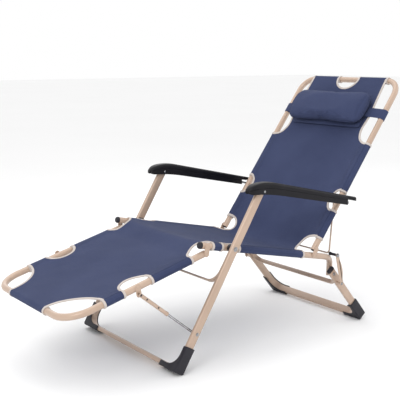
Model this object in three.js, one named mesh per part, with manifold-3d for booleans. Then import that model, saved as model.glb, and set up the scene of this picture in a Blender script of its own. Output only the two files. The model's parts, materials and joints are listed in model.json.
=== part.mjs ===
// Folding recliner with a sling seat, a hinged back, a leg rest and two U-shaped leg frames.
// Millimetres, +Z up. +X runs from the foot end to the head end, and -Y is the sitter's left.
// The sizes below are counted along X from the tip of the front feet. The whole chair is then
// shifted so that its origin lies on the floor under the middle of the object.
import * as THREE from "three";
import { mergeVertices } from "three/addons/utils/BufferGeometryUtils.js";
import Module from "manifold-3d";

const wasm = await Module();
wasm.setup();

// ---- driving dimensions ----
const MIDDLE_X = 338.7; // halfway between the foot rail and the top rail
const TUBE_R = 11; // round tubes of the seat, the back and the leg rest
const TUBE_Y = 257; // their distance from the middle plane
const LEG_WIDTH = 30; // flat tube of the leg frames
const LEG_THICK = 15;
const GAP = 0.35; // between pieces that touch
const PLATE = 2.4; // brackets and links
const SLING_THICK = 2;
const SLING_Y = 244; // half width of the cloth between the tubes
const SLING_RISE = 6; // cloth above the middle of the tubes
const SEAT_CLOTH = { from: 62, length: 398 }; // along the seat tubes

// Pivots and ends in the side plane, as [x, z].
const LEG_PIVOT = [219, 384]; // front legs on the seat tubes
const ARM_PIVOT = [330.3, 565.6]; // armrests on the front legs
const BACK_PIVOT = [617, 322];
const BACK_RIVET = [606, 302]; // bracket on the seat tube
const REST_PIVOT = [122, 376]; // leg rest on its links
const REST_LINK_TOP = [126, 401];
const REAR_PIVOT = [729, 208]; // rear legs on the seat tubes
const PLATE_PIVOT = [747, 173]; // latch plates on the rear legs
const BAIL_END = [720, 285]; // bail between the latch plates
const STAY_TOP = [-136, 288]; // stay tubes on their hangers
const STAY_HANGER = [-140, 312];
const STAY_FOOT = [63.8, 125.5]; // stay rods on the front legs

const SEAT_FRONT = [104.5, 405.7];
const SEAT_STRAIGHT_END = [645, 290];
const SEAT_BEND = [[712, 275.7, 252], [746, 262, 211]]; // control points of the rear bend, as [x, z, y]
const SEAT_END_Y = 225.5; // the bent end lies inboard of the rear legs
const BACK_ANGLE = 53.4; // above the horizontal
const BACK_LENGTH = 733; // from its pivot to the top rail
const BACK_BELOW = 6.5; // tube below its pivot
const BACK_CORNER_R = 62;
const BACK_NECK_Y = 190; // half width of the cloth at the head
const ARM_PIN_AT = 201.6; // armrest pins, along the back tube
const REST_FRONT = [-376.6, 243.3]; // foot rail
const REST_CORNER_R = 84;
const REST_RAIL_Y = 127; // half width of the cloth at the foot rail

const FRONT_LEG = { angle: 58.5, y: 290.5, down: 437.2, up: 218.8, corner: 60, shoeRun: 94 };
const REAR_LEG = { angle: 130, y: 245, down: 254.7, up: 19, corner: 60, shoeRun: 86 };
const SHOE_WALL = 3;
const SHOE_RISE = 88;
const FRONT_BRACE = { drop: 128, rise: 62, corner: 46 };
const REAR_BRACE = { drop: 66, rise: 50, corner: 40 };
const BRACE_WIDTH = 18;
const BRACE_THICK = 6;

const ARM_INNER_Y = 272.5;
const ARM_OUTER_Y = 312;
const ARM_WALL = 3.2;
const RACK = { start: 560, end: 712, step: 20, slope: 0.21, top: 538, base: 520, tooth: 6, thick: 4 };
const PIN_R = 4;
const HEAD_RISE = 1.8; // rivet heads
const HEAD_SINK = 0.2; // and how far they reach into their plate

const HANGER_THICK = 0.9;
const STAY_Y = 275.8;
const STAY_TUBE = { length: 134, outer: 6.2, inner: 4.2, before: 7 }; // it starts before its pivot
const STAY_ROD = { inside: 26, beyond: 6 };
const STAY_ROD_R = 3.6;
const LATCH_Y = 273.2;
const LATCH_FLANGE = 4.4;
const BAIL_Y = 232;
const WIRE_R = 3;
const BAIL_CORNER = 14;
const SLEEVE_R = 5;

const PILLOW = { at: 580, halfWidth: 203, length: 150, thick: 58, offset: 11 };
const STRAP = { at: 577, width: 40, thick: 1.6 };

// ---- materials ----
const BEIGE = { color: 0xcfb6a0, roughness: 0.42, metalness: 0.25 };
const BLACK = { color: 0x302f35, roughness: 0.55, metalness: 0 };
const STEEL = { color: 0xb9bcc0, roughness: 0.28, metalness: 0.9 };
const NAVY = { color: 0x4e5a7c, roughness: 0.95, metalness: 0 };

const SIDES = [["left", -1], ["right", 1]];
const radians = THREE.MathUtils.degToRad;

// ---- scene graph ----
const chair = new THREE.Group();
chair.position.x = -MIDDLE_X;

function group() {
  const made = new THREE.Group();
  chair.add(made);
  return made;
}

function add(parent, name, look, geometry) {
  const mesh = new THREE.Mesh(geometry, new THREE.MeshStandardMaterial(look));
  mesh.name = name;
  parent.add(mesh);
}

// ---- joining and cutting ----
function solid(geometry) {
  const bare = geometry.clone();
  bare.deleteAttribute("normal");
  bare.deleteAttribute("uv");
  const merged = mergeVertices(bare, 1e-3);
  const vertProperties = merged.attributes.position.array;
  const triVerts = new Uint32Array(merged.index.array);
  return new wasm.Manifold(new wasm.Mesh({ numProp: 3, vertProperties, triVerts }));
}

function geometryOf(made) {
  const { vertProperties, triVerts } = made.getMesh();
  const geometry = new THREE.BufferGeometry();
  geometry.setAttribute("position", new THREE.BufferAttribute(vertProperties, 3));
  geometry.setIndex(new THREE.BufferAttribute(triVerts, 1));
  geometry.computeVertexNormals();
  return geometry;
}

function joined(...pieces) {
  return geometryOf(pieces.map(solid).reduce((a, b) => a.add(b)));
}

function cut(base, ...tools) {
  return geometryOf(tools.map(solid).reduce((a, b) => a.subtract(b), solid(base)));
}

function common(a, b) {
  return geometryOf(solid(a).intersect(solid(b)));
}

// ---- shapes ----
// A point of the side plane at a distance y from the middle plane.
function at([x, z], y) {
  return new THREE.Vector3(x, y, z);
}

// The point of the side plane at a distance along a direction, and off it to the left.
function along([x, z], degrees, distance, off = 0) {
  const [c, s] = [Math.cos(radians(degrees)), Math.sin(radians(degrees))];
  return [x + c * distance - s * off, z + s * distance + c * off];
}

function directionOf(a, b) {
  return THREE.MathUtils.radToDeg(Math.atan2(b[1] - a[1], b[0] - a[0]));
}

function roundTube(curve, radius, steps, sides = 12) {
  const section = new THREE.Shape().absarc(0, 0, radius, 0, 2 * Math.PI);
  const settings = { extrudePath: curve, steps, curveSegments: sides / 2, bevelEnabled: false };
  return new THREE.ExtrudeGeometry(section, settings);
}

// A straight round bar between two points of the side plane, at one distance y.
function straightBar(a, b, y, radius, sides = 12) {
  return roundTube(new THREE.LineCurve3(at(a, y), at(b, y)), radius, 1, sides);
}

// A round bar across the chair, from one distance y to another on one side.
function barAcross(point, radius, fromY, toY, side, sides = 12) {
  const bar = new THREE.CylinderGeometry(radius, radius, Math.abs(toY - fromY), sides);
  return bar.translate(point[0], (side * (fromY + toY)) / 2, point[1]);
}

// A low domed rivet head that faces outwards.
function headAcross(point, radius, height, y, side) {
  const steps = [[0, 0], [1, 0], [1, 0.4], [0.74, 1], [0, 1]];
  const profile = steps.map(([r, h]) => new THREE.Vector2(r * radius, h * height));
  const head = new THREE.LatheGeometry(profile, 12);
  if (side < 0) head.rotateX(Math.PI);
  return head.translate(point[0], side * y, point[1]);
}

// A round end plug with a dome, which points along a direction of the side plane.
function endPlug(point, degrees, y, radius, length) {
  const profile = [new THREE.Vector2(0, 0)];
  for (let i = 0; i <= 4; i++) {
    const turn = (i * Math.PI) / 8;
    const r = radius * (0.55 + 0.45 * Math.cos(turn));
    profile.push(new THREE.Vector2(i < 4 ? r : radius * 0.5, length * (0.4 + 0.6 * Math.sin(turn))));
  }
  profile.splice(1, 0, new THREE.Vector2(radius, 0));
  profile.push(new THREE.Vector2(0, length));
  const plug = new THREE.LatheGeometry(profile, 12);
  plug.rotateZ(-Math.PI / 2); // its axis now runs along +X
  plug.rotateY(-radians(degrees));
  return plug.translate(point[0], y, point[1]);
}

// An outline of the side plane with a thickness across the chair, from y outwards.
function slabAcross(shape, y, thick, side, bevel = 0) {
  const slab = new THREE.ExtrudeGeometry(shape, {
    depth: thick - 2 * bevel,
    bevelEnabled: bevel > 0,
    bevelSize: bevel,
    bevelOffset: -bevel,
    bevelThickness: bevel,
    bevelSegments: 1,
    curveSegments: 5,
  });
  slab.rotateX(Math.PI / 2); // the outline's y is now +Z, and its depth runs along -Y
  return slab.translate(0, side > 0 ? y + thick - bevel : -y - bevel, 0);
}

function outline(points) {
  return new THREE.Shape(points.map(([x, y]) => new THREE.Vector2(x, y)));
}

// The outline round two equal circles.
function linkShape(a, b, radius) {
  const turn = radians(directionOf(a, b));
  const shape = new THREE.Shape();
  shape.absarc(b[0], b[1], radius, turn - Math.PI / 2, turn + Math.PI / 2);
  shape.absarc(a[0], a[1], radius, turn + Math.PI / 2, turn + (3 * Math.PI) / 2);
  return shape;
}

// A quarter bend between two points, round the corner where their lines meet.
function bend(start, corner, end) {
  const k = 0.5523; // a cubic with this reach follows a circle
  const near = start.clone().lerp(corner, k);
  const far = end.clone().lerp(corner, k);
  return new THREE.CubicBezierCurve3(start, near, far, end);
}

// A tube from one side's end, round the cross rail and back to the other side's end.
function loopCurve(sideEnd, rail, halfWidth, corner) {
  const before = along(rail, directionOf(rail, sideEnd), corner);
  const path = new THREE.CurvePath();
  const inner = halfWidth - corner;
  path.add(new THREE.LineCurve3(at(sideEnd, -halfWidth), at(before, -halfWidth)));
  path.add(bend(at(before, -halfWidth), at(rail, -halfWidth), at(rail, -inner)));
  path.add(new THREE.LineCurve3(at(rail, -inner), at(rail, inner)));
  path.add(bend(at(rail, inner), at(rail, halfWidth), at(before, halfWidth)));
  path.add(new THREE.LineCurve3(at(before, halfWidth), at(sideEnd, halfWidth)));
  return path;
}

// A strip bent to a U: its legs end at y = up, and the underside of its cross run is y = -down.
function stripShape(halfWidth, down, up, thick, corner) {
  const [w, r] = [halfWidth, corner];
  const [wi, di, ri] = [w - thick, down - thick, Math.max(corner - thick, 1)];
  const shape = new THREE.Shape();
  shape.moveTo(-w, up);
  shape.absarc(-w + r, -down + r, r, Math.PI, 1.5 * Math.PI);
  shape.absarc(w - r, -down + r, r, 1.5 * Math.PI, 2 * Math.PI);
  shape.lineTo(w, up);
  shape.lineTo(wi, up);
  shape.absarc(wi - ri, -di + ri, ri, 0, -0.5 * Math.PI, true);
  shape.absarc(-wi + ri, -di + ri, ri, 1.5 * Math.PI, Math.PI, true);
  shape.lineTo(-wi, up);
  shape.closePath();
  return shape;
}

// An outline of a leg frame's own plane with a depth centred on that plane.
function slabInFrame(shape, depth, bevel = 0) {
  const slab = new THREE.ExtrudeGeometry(shape, {
    depth: depth - 2 * bevel,
    bevelEnabled: bevel > 0,
    bevelSize: bevel,
    bevelOffset: -bevel,
    bevelThickness: bevel,
    bevelSegments: 1,
    curveSegments: 5,
  });
  return slab.translate(0, 0, bevel - depth / 2);
}

// ---- leg frames ----
// A leg frame's group has its origin in the pivot, X across the chair and Y up along the legs.
function legGroup(pivot, degrees) {
  const made = group();
  const up = new THREE.Vector3(Math.cos(radians(degrees)), 0, Math.sin(radians(degrees)));
  const across = new THREE.Vector3(0, 1, 0);
  const normal = across.clone().cross(up);
  made.quaternion.setFromRotationMatrix(new THREE.Matrix4().makeBasis(across, up, normal));
  made.position.copy(at(pivot, 0));
  return made;
}

// A point of the side plane in a leg group's own Y and Z.
function inLegGroup(point, pivot, degrees) {
  const [dx, dz] = [point[0] - pivot[0], point[1] - pivot[1]];
  const [c, s] = [Math.cos(radians(degrees)), Math.sin(radians(degrees))];
  return [dx * c + dz * s, dx * s - dz * c];
}

function legHole([y, z], radius, halfWidth) {
  const hole = new THREE.CylinderGeometry(radius, radius, 2 * halfWidth + 20, 12);
  return hole.rotateZ(Math.PI / 2).translate(0, y, z);
}

function legFrame(leg, holes) {
  const halfWidth = leg.y + LEG_THICK / 2;
  const shape = stripShape(halfWidth, leg.down, leg.up, LEG_THICK, leg.corner);
  const frame = slabInFrame(shape, LEG_WIDTH, 3);
  return cut(frame, ...holes.map((hole) => legHole(hole, PIN_R + GAP, halfWidth)));
}

// A corner shoe: a shell over the outside of a bend with a squared corner, open inwards.
function legShoe(leg, side) {
  const halfWidth = leg.y + LEG_THICK / 2;
  const [w, d, r] = [halfWidth + SHOE_WALL, leg.down + SHOE_WALL, 9];
  const [wi, di, ri] = [halfWidth - LEG_THICK, leg.down - LEG_THICK, leg.corner - LEG_THICK];
  const shape = new THREE.Shape();
  shape.moveTo(side * w, -leg.down + SHOE_RISE);
  shape.absarc(side * (w - r), -d + r, r, side > 0 ? 0 : Math.PI, -Math.PI / 2, side > 0);
  shape.lineTo(side * (halfWidth - leg.shoeRun), -d);
  shape.lineTo(side * (halfWidth - leg.shoeRun), -di);
  shape.absarc(side * (wi - ri), -di + ri, ri, -Math.PI / 2, side > 0 ? 0 : -Math.PI, side < 0);
  shape.lineTo(side * wi, -leg.down + SHOE_RISE);
  shape.closePath();
  const shell = slabInFrame(shape, LEG_WIDTH + 2 * SHOE_WALL, 1.5);
  const room = stripShape(
    halfWidth + GAP,
    leg.down + GAP,
    leg.up,
    LEG_THICK + 6,
    leg.corner + GAP,
  );
  return cut(shell, slabInFrame(room, LEG_WIDTH + 2 * GAP));
}

// A flat brace with bent ends that lie against the inner faces of the legs.
function legBrace(leg, brace) {
  const halfWidth = leg.y - LEG_THICK / 2 - GAP;
  const shape = stripShape(
    halfWidth,
    brace.drop,
    brace.rise - brace.drop,
    BRACE_THICK,
    brace.corner,
  );
  return slabInFrame(shape, BRACE_WIDTH, 1);
}

// ---- seat frame ----
const seat = group();
const seatDirection = directionOf(SEAT_FRONT, SEAT_STRAIGHT_END);

function seatTubeCurve(side) {
  const path = new THREE.CurvePath();
  const [first, second] = SEAT_BEND;
  path.add(new THREE.LineCurve3(at(SEAT_FRONT, side * TUBE_Y), at(SEAT_STRAIGHT_END, side * TUBE_Y)));
  const end = along(REAR_PIVOT, -90, TUBE_R);
  path.add(
    new THREE.CubicBezierCurve3(
      at(SEAT_STRAIGHT_END, side * TUBE_Y),
      at(first, side * first[2]),
      at(second, side * second[2]),
      at(end, side * SEAT_END_Y),
    ),
  );
  return path;
}

// A plate between two pivots of the side plane, with a rivet head over each.
function rivetedLink(a, b, radius, y, side) {
  const plate = slabAcross(linkShape(a, b, radius), y, PLATE, side);
  const heads = [a, b].map((p) => headAcross(p, 5.5, HEAD_RISE, y + PLATE - HEAD_SINK, side));
  return joined(plate, ...heads);
}

for (const [name, side] of SIDES) {
  const plateY = TUBE_Y + TUBE_R + GAP;
  add(seat, name + "_seat_tube", BEIGE, roundTube(seatTubeCurve(side), TUBE_R, 30));
  const front = along(SEAT_FRONT, seatDirection + 180, GAP);
  const plug = endPlug(front, seatDirection + 180, side * TUBE_Y, TUBE_R, 7);
  add(seat, name + "_seat_plug", BLACK, plug);
  const bracket = rivetedLink(BACK_RIVET, BACK_PIVOT, 9.5, plateY, side);
  add(seat, name + "_back_bracket", BEIGE, bracket);
  const link = rivetedLink(REST_PIVOT, REST_LINK_TOP, 8.5, plateY, side);
  add(seat, name + "_leg_rest_link", BEIGE, link);
  const spacerEnd = FRONT_LEG.y - LEG_THICK / 2 - GAP;
  add(seat, name + "_leg_spacer", BLACK, barAcross(LEG_PIVOT, 13, plateY, spacerEnd, side, 20));
}

const clothEnds = [SEAT_CLOTH.from, SEAT_CLOTH.from + SEAT_CLOTH.length];
const clothFaces = [SLING_RISE, SLING_RISE + SLING_THICK];
const seatCloth = outline([
  along(SEAT_FRONT, seatDirection, clothEnds[0], clothFaces[0]),
  along(SEAT_FRONT, seatDirection, clothEnds[1], clothFaces[0]),
  along(SEAT_FRONT, seatDirection, clothEnds[1], clothFaces[1]),
  along(SEAT_FRONT, seatDirection, clothEnds[0], clothFaces[1]),
]);
add(seat, "seat_sling", NAVY, slabAcross(seatCloth, -SLING_Y, 2 * SLING_Y, 1));

// ---- back frame ----
const back = group();
const backAt = (distance, off = 0) => along(BACK_PIVOT, BACK_ANGLE, distance, off);
const armPin = backAt(ARM_PIN_AT);
const backCurve = loopCurve(backAt(-BACK_BELOW), backAt(BACK_LENGTH), TUBE_Y, BACK_CORNER_R);
add(back, "back_tube", BEIGE, roundTube(backCurve, TUBE_R, 62));

// Cloth of a frame as a flat sheet: the outline is [distance along, half width], mirrored.
function slingSheet(place, degrees, halfOutline) {
  const right = halfOutline.map(([s, y]) => [s, y]);
  const left = halfOutline.map(([s, y]) => [s, -y]).reverse();
  const sheet = new THREE.ExtrudeGeometry(outline([...right, ...left]), {
    depth: SLING_THICK,
    bevelEnabled: false,
  });
  sheet.translate(0, 0, SLING_RISE);
  sheet.rotateY(-radians(degrees));
  return sheet.translate(place[0], 0, place[1]);
}

const backOutline = [
  [66, SLING_Y],
  [452, SLING_Y],
  [478, 214],
  [505, BACK_NECK_Y],
  [BACK_LENGTH - TUBE_R - 2, BACK_NECK_Y],
];
add(back, "back_sling", NAVY, slingSheet(BACK_PIVOT, BACK_ANGLE, backOutline));

for (const [name, side] of SIDES) {
  const shaft = barAcross(armPin, PIN_R, TUBE_Y + TUBE_R + GAP, ARM_OUTER_Y - 12, side);
  const tip = barAcross(armPin, PIN_R + 1.5, ARM_OUTER_Y - 14, ARM_OUTER_Y - 9, side);
  add(back, name + "_armrest_pin", STEEL, joined(shaft, tip));
  const below = backAt(-BACK_BELOW - GAP);
  const plug = endPlug(below, BACK_ANGLE + 180, side * TUBE_Y, TUBE_R - 2, 3);
  add(back, name + "_back_plug", BLACK, plug);
}

// ---- head pillow ----
const pillow = group();
const pillowShape = new THREE.Shape();
pillowShape.absellipse(
  0,
  PILLOW.offset + PILLOW.thick / 2,
  PILLOW.length / 2,
  PILLOW.thick / 2,
  0,
  2 * Math.PI,
);
const pillowBody = slabAcross(pillowShape, -PILLOW.halfWidth, 2 * PILLOW.halfWidth, 1, 12);
pillowBody.rotateY(-radians(BACK_ANGLE));
pillowBody.translate(backAt(PILLOW.at)[0], 0, backAt(PILLOW.at)[1]);
add(pillow, "head_pillow", NAVY, pillowBody);

for (const [name, side] of SIDES) {
  const { width, thick } = STRAP;
  const inner = TUBE_R + GAP;
  const outer = inner + thick;
  const profile = [
    [inner, -width / 2],
    [outer, -width / 2],
    [outer, width / 2],
    [inner, width / 2],
    [inner, -width / 2],
  ].map(([r, h]) => new THREE.Vector2(r, h));
  const ring = new THREE.LatheGeometry(profile, 24);
  ring.rotateZ(-Math.PI / 2).translate(0, side * TUBE_Y, 0);
  const reach = TUBE_Y - PILLOW.halfWidth - GAP - 1;
  const band = new THREE.BoxGeometry(width, reach, thick);
  band.translate(0, side * (TUBE_Y - reach / 2), inner + thick / 2);
  const strap = joined(ring, band);
  strap.rotateY(-radians(BACK_ANGLE));
  const [x, z] = backAt(STRAP.at);
  add(pillow, name + "_pillow_strap", NAVY, strap.translate(x, 0, z));
}

// ---- leg rest ----
const rest = group();
const restDirection = directionOf(REST_PIVOT, REST_FRONT);
const restCurve = loopCurve(along(REST_PIVOT, restDirection, -1), REST_FRONT, TUBE_Y, REST_CORNER_R);
add(rest, "leg_rest_tube", BEIGE, roundTube(restCurve, TUBE_R, 52));

const restLength = Math.hypot(REST_FRONT[0] - REST_PIVOT[0], REST_FRONT[1] - REST_PIVOT[1]);
const restOutline = [
  [TUBE_R + 2, REST_RAIL_Y],
  [84, 168],
  [116, SLING_Y],
  [restLength - 52, SLING_Y],
];
add(rest, "leg_rest_sling", NAVY, slingSheet(REST_FRONT, restDirection - 180, restOutline));

for (const [name, side] of SIDES) {
  const end = along(REST_PIVOT, restDirection, -1 - GAP);
  const plug = endPlug(end, restDirection + 180, side * TUBE_Y, 10, 3);
  add(rest, name + "_leg_rest_plug", BLACK, plug);
  const hangerShape = linkShape(STAY_HANGER, STAY_TOP, 8);
  const hanger = slabAcross(hangerShape, TUBE_Y + TUBE_R + GAP, HANGER_THICK, side);
  add(rest, name + "_stay_hanger", BEIGE, hanger);
}

// ---- leg-rest stays ----
const stays = group();
const stayDirection = directionOf(STAY_TOP, STAY_FOOT);
for (const [name, side] of SIDES) {
  const { length, outer, inner, before } = STAY_TUBE;
  const start = along(STAY_TOP, stayDirection, -before);
  const finish = along(STAY_TOP, stayDirection, length - before);
  const boreEnds = [along(start, stayDirection, -5), along(finish, stayDirection, 5)];
  const bore = straightBar(...boreEnds, side * STAY_Y, inner);
  const tube = cut(straightBar(start, finish, side * STAY_Y, outer), bore);
  add(stays, name + "_stay_tube", BEIGE, tube);
  const rodStart = along(finish, stayDirection, -STAY_ROD.inside);
  const rodEnd = along(STAY_FOOT, stayDirection, STAY_ROD.beyond);
  const rod = straightBar(rodStart, rodEnd, side * STAY_Y, STAY_ROD_R, 10);
  add(stays, name + "_stay_rod", STEEL, rod);
}

// ---- front legs ----
const frontLegs = legGroup(LEG_PIVOT, FRONT_LEG.angle);
const armPivotInLeg = inLegGroup(ARM_PIVOT, LEG_PIVOT, FRONT_LEG.angle);
add(frontLegs, "front_leg_frame", BEIGE, legFrame(FRONT_LEG, [[0, 0], armPivotInLeg]));
add(frontLegs, "front_brace", BEIGE, legBrace(FRONT_LEG, FRONT_BRACE));
for (const [name, side] of SIDES) {
  add(frontLegs, name + "_front_shoe", BLACK, legShoe(FRONT_LEG, side));
}
const frontRivets = group();
for (const [name, side] of SIDES) {
  const outside = FRONT_LEG.y + LEG_THICK / 2 + GAP;
  const shank = barAcross(LEG_PIVOT, PIN_R, FRONT_LEG.y - LEG_THICK / 2, outside + 1, side);
  const head = headAcross(LEG_PIVOT, 7.5, 2.2, outside, side);
  add(frontRivets, name + "_leg_pivot_rivet", STEEL, joined(shank, head));
  const foot = headAcross(STAY_FOOT, 6, HEAD_RISE, outside, side);
  add(frontRivets, name + "_stay_rivet", STEEL, foot);
}

// ---- rear legs ----
const rearLegs = legGroup(REAR_PIVOT, REAR_LEG.angle);
add(rearLegs, "rear_leg_frame", BEIGE, legFrame(REAR_LEG, [[0, 0]]));
add(rearLegs, "rear_brace", BEIGE, legBrace(REAR_LEG, REAR_BRACE));
for (const [name, side] of SIDES) {
  add(rearLegs, name + "_rear_shoe", BLACK, legShoe(REAR_LEG, side));
  const plug = new THREE.BoxGeometry(LEG_THICK, 8, LEG_WIDTH);
  plug.translate(side * REAR_LEG.y, REAR_LEG.up + 4 + GAP, 0);
  add(rearLegs, name + "_rear_leg_plug", BLACK, plug);
}
const rearRivets = group();
for (const [name, side] of SIDES) {
  const outside = REAR_LEG.y + LEG_THICK / 2 + GAP;
  const shank = barAcross(REAR_PIVOT, PIN_R, SEAT_END_Y + TUBE_R + GAP, outside + 1, side);
  const head = headAcross(REAR_PIVOT, 6, 2, outside, side);
  add(rearRivets, name + "_rear_pivot_rivet", STEEL, joined(shank, head));
}

// ---- bail and latch plates ----
const bail = group();

// From the left armrest pin, down beside the back, across, and up to the right pin.
function bailCurve() {
  const path = new THREE.CurvePath();
  const wireEnd = TUBE_Y - TUBE_R - 2 * GAP;
  const inner = BAIL_Y - BAIL_CORNER;
  const top = along(armPin, directionOf(armPin, BAIL_END), 8);
  const low = along(BAIL_END, directionOf(BAIL_END, armPin), BAIL_CORNER);
  path.add(bend(at(armPin, -wireEnd), at(armPin, -BAIL_Y), at(top, -BAIL_Y)));
  path.add(new THREE.LineCurve3(at(top, -BAIL_Y), at(low, -BAIL_Y)));
  path.add(bend(at(low, -BAIL_Y), at(BAIL_END, -BAIL_Y), at(BAIL_END, -inner)));
  path.add(new THREE.LineCurve3(at(BAIL_END, -inner), at(BAIL_END, inner)));
  path.add(bend(at(BAIL_END, inner), at(BAIL_END, BAIL_Y), at(low, BAIL_Y)));
  path.add(new THREE.LineCurve3(at(low, BAIL_Y), at(top, BAIL_Y)));
  path.add(bend(at(top, BAIL_Y), at(armPin, BAIL_Y), at(armPin, wireEnd)));
  return path;
}
add(bail, "back_bail", BEIGE, roundTube(bailCurve(), WIRE_R, 54, 6));
for (const [name, side] of SIDES) {
  const sleeve = barAcross(BAIL_END, SLEEVE_R, BAIL_Y + WIRE_R + GAP, LATCH_Y - GAP, side);
  add(bail, name + "_bail_sleeve", BLACK, sleeve);
}

// A plate with a bulged flange along its rear edge and a spacer that keeps it off the leg.
function latchPlate(side) {
  const lift = directionOf(PLATE_PIVOT, BAIL_END);
  const web = slabAcross(linkShape(PLATE_PIVOT, BAIL_END, 8), LATCH_Y, PLATE, side);
  const leaf = outline([
    along(PLATE_PIVOT, lift, 14, -8),
    along(PLATE_PIVOT, lift, 34, -14),
    along(PLATE_PIVOT, lift, 66, -14),
    along(PLATE_PIVOT, lift, 96, -7),
    along(PLATE_PIVOT, lift, 96, -4),
    along(PLATE_PIVOT, lift, 14, -4),
  ]);
  const flange = slabAcross(leaf, LATCH_Y - LATCH_FLANGE, LATCH_FLANGE + PLATE, side);
  const spacer = barAcross(PLATE_PIVOT, 5, REAR_LEG.y + LEG_THICK / 2 + GAP, LATCH_Y + 1, side);
  const headY = LATCH_Y + PLATE - HEAD_SINK;
  const rivet = headAcross(PLATE_PIVOT, 5.5, HEAD_RISE, headY, side);
  const bolt = headAcross(BAIL_END, 6.5, 3.4, headY, side);
  return joined(web, flange, spacer, rivet, bolt);
}
const latches = group();
for (const [name, side] of SIDES) {
  add(latches, name + "_latch_plate", BEIGE, latchPlate(side));
}

// ---- armrests ----
const arms = group();
const armSide = new THREE.Shape();
armSide.moveTo(268, 567);
armSide.quadraticCurveTo(270, 586, 300, 592);
armSide.quadraticCurveTo(344, 600, 400, 586);
armSide.lineTo(769, 502.5);
armSide.lineTo(770, 488);
armSide.lineTo(727, 494);
armSide.lineTo(726, 478);
armSide.lineTo(400, 545.5);
armSide.quadraticCurveTo(330, 558, 292, 558);
armSide.quadraticCurveTo(272, 558, 268, 567);

const armRoom = new THREE.Shape();
armRoom.moveTo(290, 540);
armRoom.lineTo(284, 579);
armRoom.quadraticCurveTo(344, 594, 398, 581.5);
armRoom.lineTo(790, 492.8);
armRoom.lineTo(790, 440);
armRoom.lineTo(290, 480);
armRoom.closePath();

// Seen from above, an armrest narrows to a round front end.
function armPlan(side) {
  const [inner, outer] = [side * (ARM_INNER_Y + 1), side * ARM_OUTER_Y];
  const plan = new THREE.Shape();
  plan.moveTo(300, inner);
  plan.quadraticCurveTo(266, inner + side * 3, 262, inner + side * 17);
  plan.quadraticCurveTo(266, outer - side * 3, 300, outer);
  plan.lineTo(772, outer);
  plan.lineTo(772, inner);
  plan.closePath();
  return plan;
}

// The way in for the armrest pin, through the inner wall and from below.
const pinWay = outline([
  [640, 440],
  [640, 500],
  [712, 500],
  [790, 491],
  [790, 440],
]);

// The notched rail inside an armrest: a strip with a tooth at each step.
function rackShape() {
  const { start, end, step, slope, top, base, tooth } = RACK;
  const drop = (x) => slope * (x - start);
  const points = [
    [end, top - drop(end)],
    [start, top - drop(start)],
    [start, base - drop(start)],
  ];
  for (let x = start + step; x < end; x += step) {
    points.push([x - 4, base - drop(x) - tooth]);
    points.push([x, base - drop(x)]);
  }
  points.push([end, base - drop(end)]);
  return outline(points);
}

for (const [name, side] of SIDES) {
  const width = ARM_OUTER_Y - ARM_INNER_Y;
  const plan = new THREE.ExtrudeGeometry(armPlan(side), {
    depth: 220,
    bevelEnabled: false,
    curveSegments: 8,
  });
  plan.translate(0, 0, 420);
  const body = common(slabAcross(armSide, ARM_INNER_Y, width, side, 2.5), plan);
  const room = slabAcross(armRoom, ARM_INNER_Y + ARM_WALL, width - 2 * ARM_WALL, side);
  const way = slabAcross(pinWay, ARM_INNER_Y - 5, 20, side);
  add(arms, name + "_armrest", BLACK, cut(body, room, way));
  const pinEnds = [ARM_INNER_Y + ARM_WALL + GAP, ARM_OUTER_Y - ARM_WALL - GAP];
  add(arms, name + "_armrest_pivot", STEEL, barAcross(ARM_PIVOT, PIN_R, ...pinEnds, side));
  const rack = slabAcross(rackShape(), ARM_OUTER_Y - ARM_WALL - GAP - RACK.thick, RACK.thick, side);
  add(arms, name + "_armrest_rack", STEEL, rack);
}

export default chair;
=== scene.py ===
# Looks for a folding recliner: woven sling with bound cut-outs, head pillow, painted tubes and mouldings.
# Metres, +Z up, +X towards the head end, -Y the sitter's left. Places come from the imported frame.
import json
import math

import bmesh
import bpy
import numpy as np
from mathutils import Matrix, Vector, noise


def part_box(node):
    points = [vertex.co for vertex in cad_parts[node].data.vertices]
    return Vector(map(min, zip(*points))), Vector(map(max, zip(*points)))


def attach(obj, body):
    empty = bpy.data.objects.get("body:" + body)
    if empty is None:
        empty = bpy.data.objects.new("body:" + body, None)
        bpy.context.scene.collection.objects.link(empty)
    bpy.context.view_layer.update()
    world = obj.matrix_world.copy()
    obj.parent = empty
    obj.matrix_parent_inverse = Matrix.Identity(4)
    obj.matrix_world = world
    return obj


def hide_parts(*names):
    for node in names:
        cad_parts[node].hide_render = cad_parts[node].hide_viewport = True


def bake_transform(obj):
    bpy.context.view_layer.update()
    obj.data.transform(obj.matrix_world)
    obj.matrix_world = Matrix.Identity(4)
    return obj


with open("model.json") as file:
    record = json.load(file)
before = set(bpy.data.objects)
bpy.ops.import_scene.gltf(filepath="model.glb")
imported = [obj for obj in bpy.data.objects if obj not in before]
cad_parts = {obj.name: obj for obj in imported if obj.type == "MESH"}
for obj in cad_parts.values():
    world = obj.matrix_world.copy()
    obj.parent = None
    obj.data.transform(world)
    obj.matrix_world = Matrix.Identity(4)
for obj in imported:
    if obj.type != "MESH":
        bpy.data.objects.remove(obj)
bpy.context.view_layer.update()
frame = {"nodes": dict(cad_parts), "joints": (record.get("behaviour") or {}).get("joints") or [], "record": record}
JOINTS = {j["name"]: j for j in frame["joints"]}
SIDES = (("left", -1), ("right", 1))


# ---- the frame's own places ----
def vec(*numbers):
    return np.array(numbers, float)


def pivot(name):
    return vec(*JOINTS[name]["pos_m"])


def in_plane(degrees):
    return vec(math.cos(math.radians(degrees)), 0, math.sin(math.radians(degrees)))


def across(point, y):
    return vec(point[0], y, point[2])


def normal_of(direction):
    return vec(-direction[2], 0, direction[0])


def unit(a):
    return a / np.linalg.norm(a)


def turned_to(a, b):
    return unit(b - a)


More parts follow.
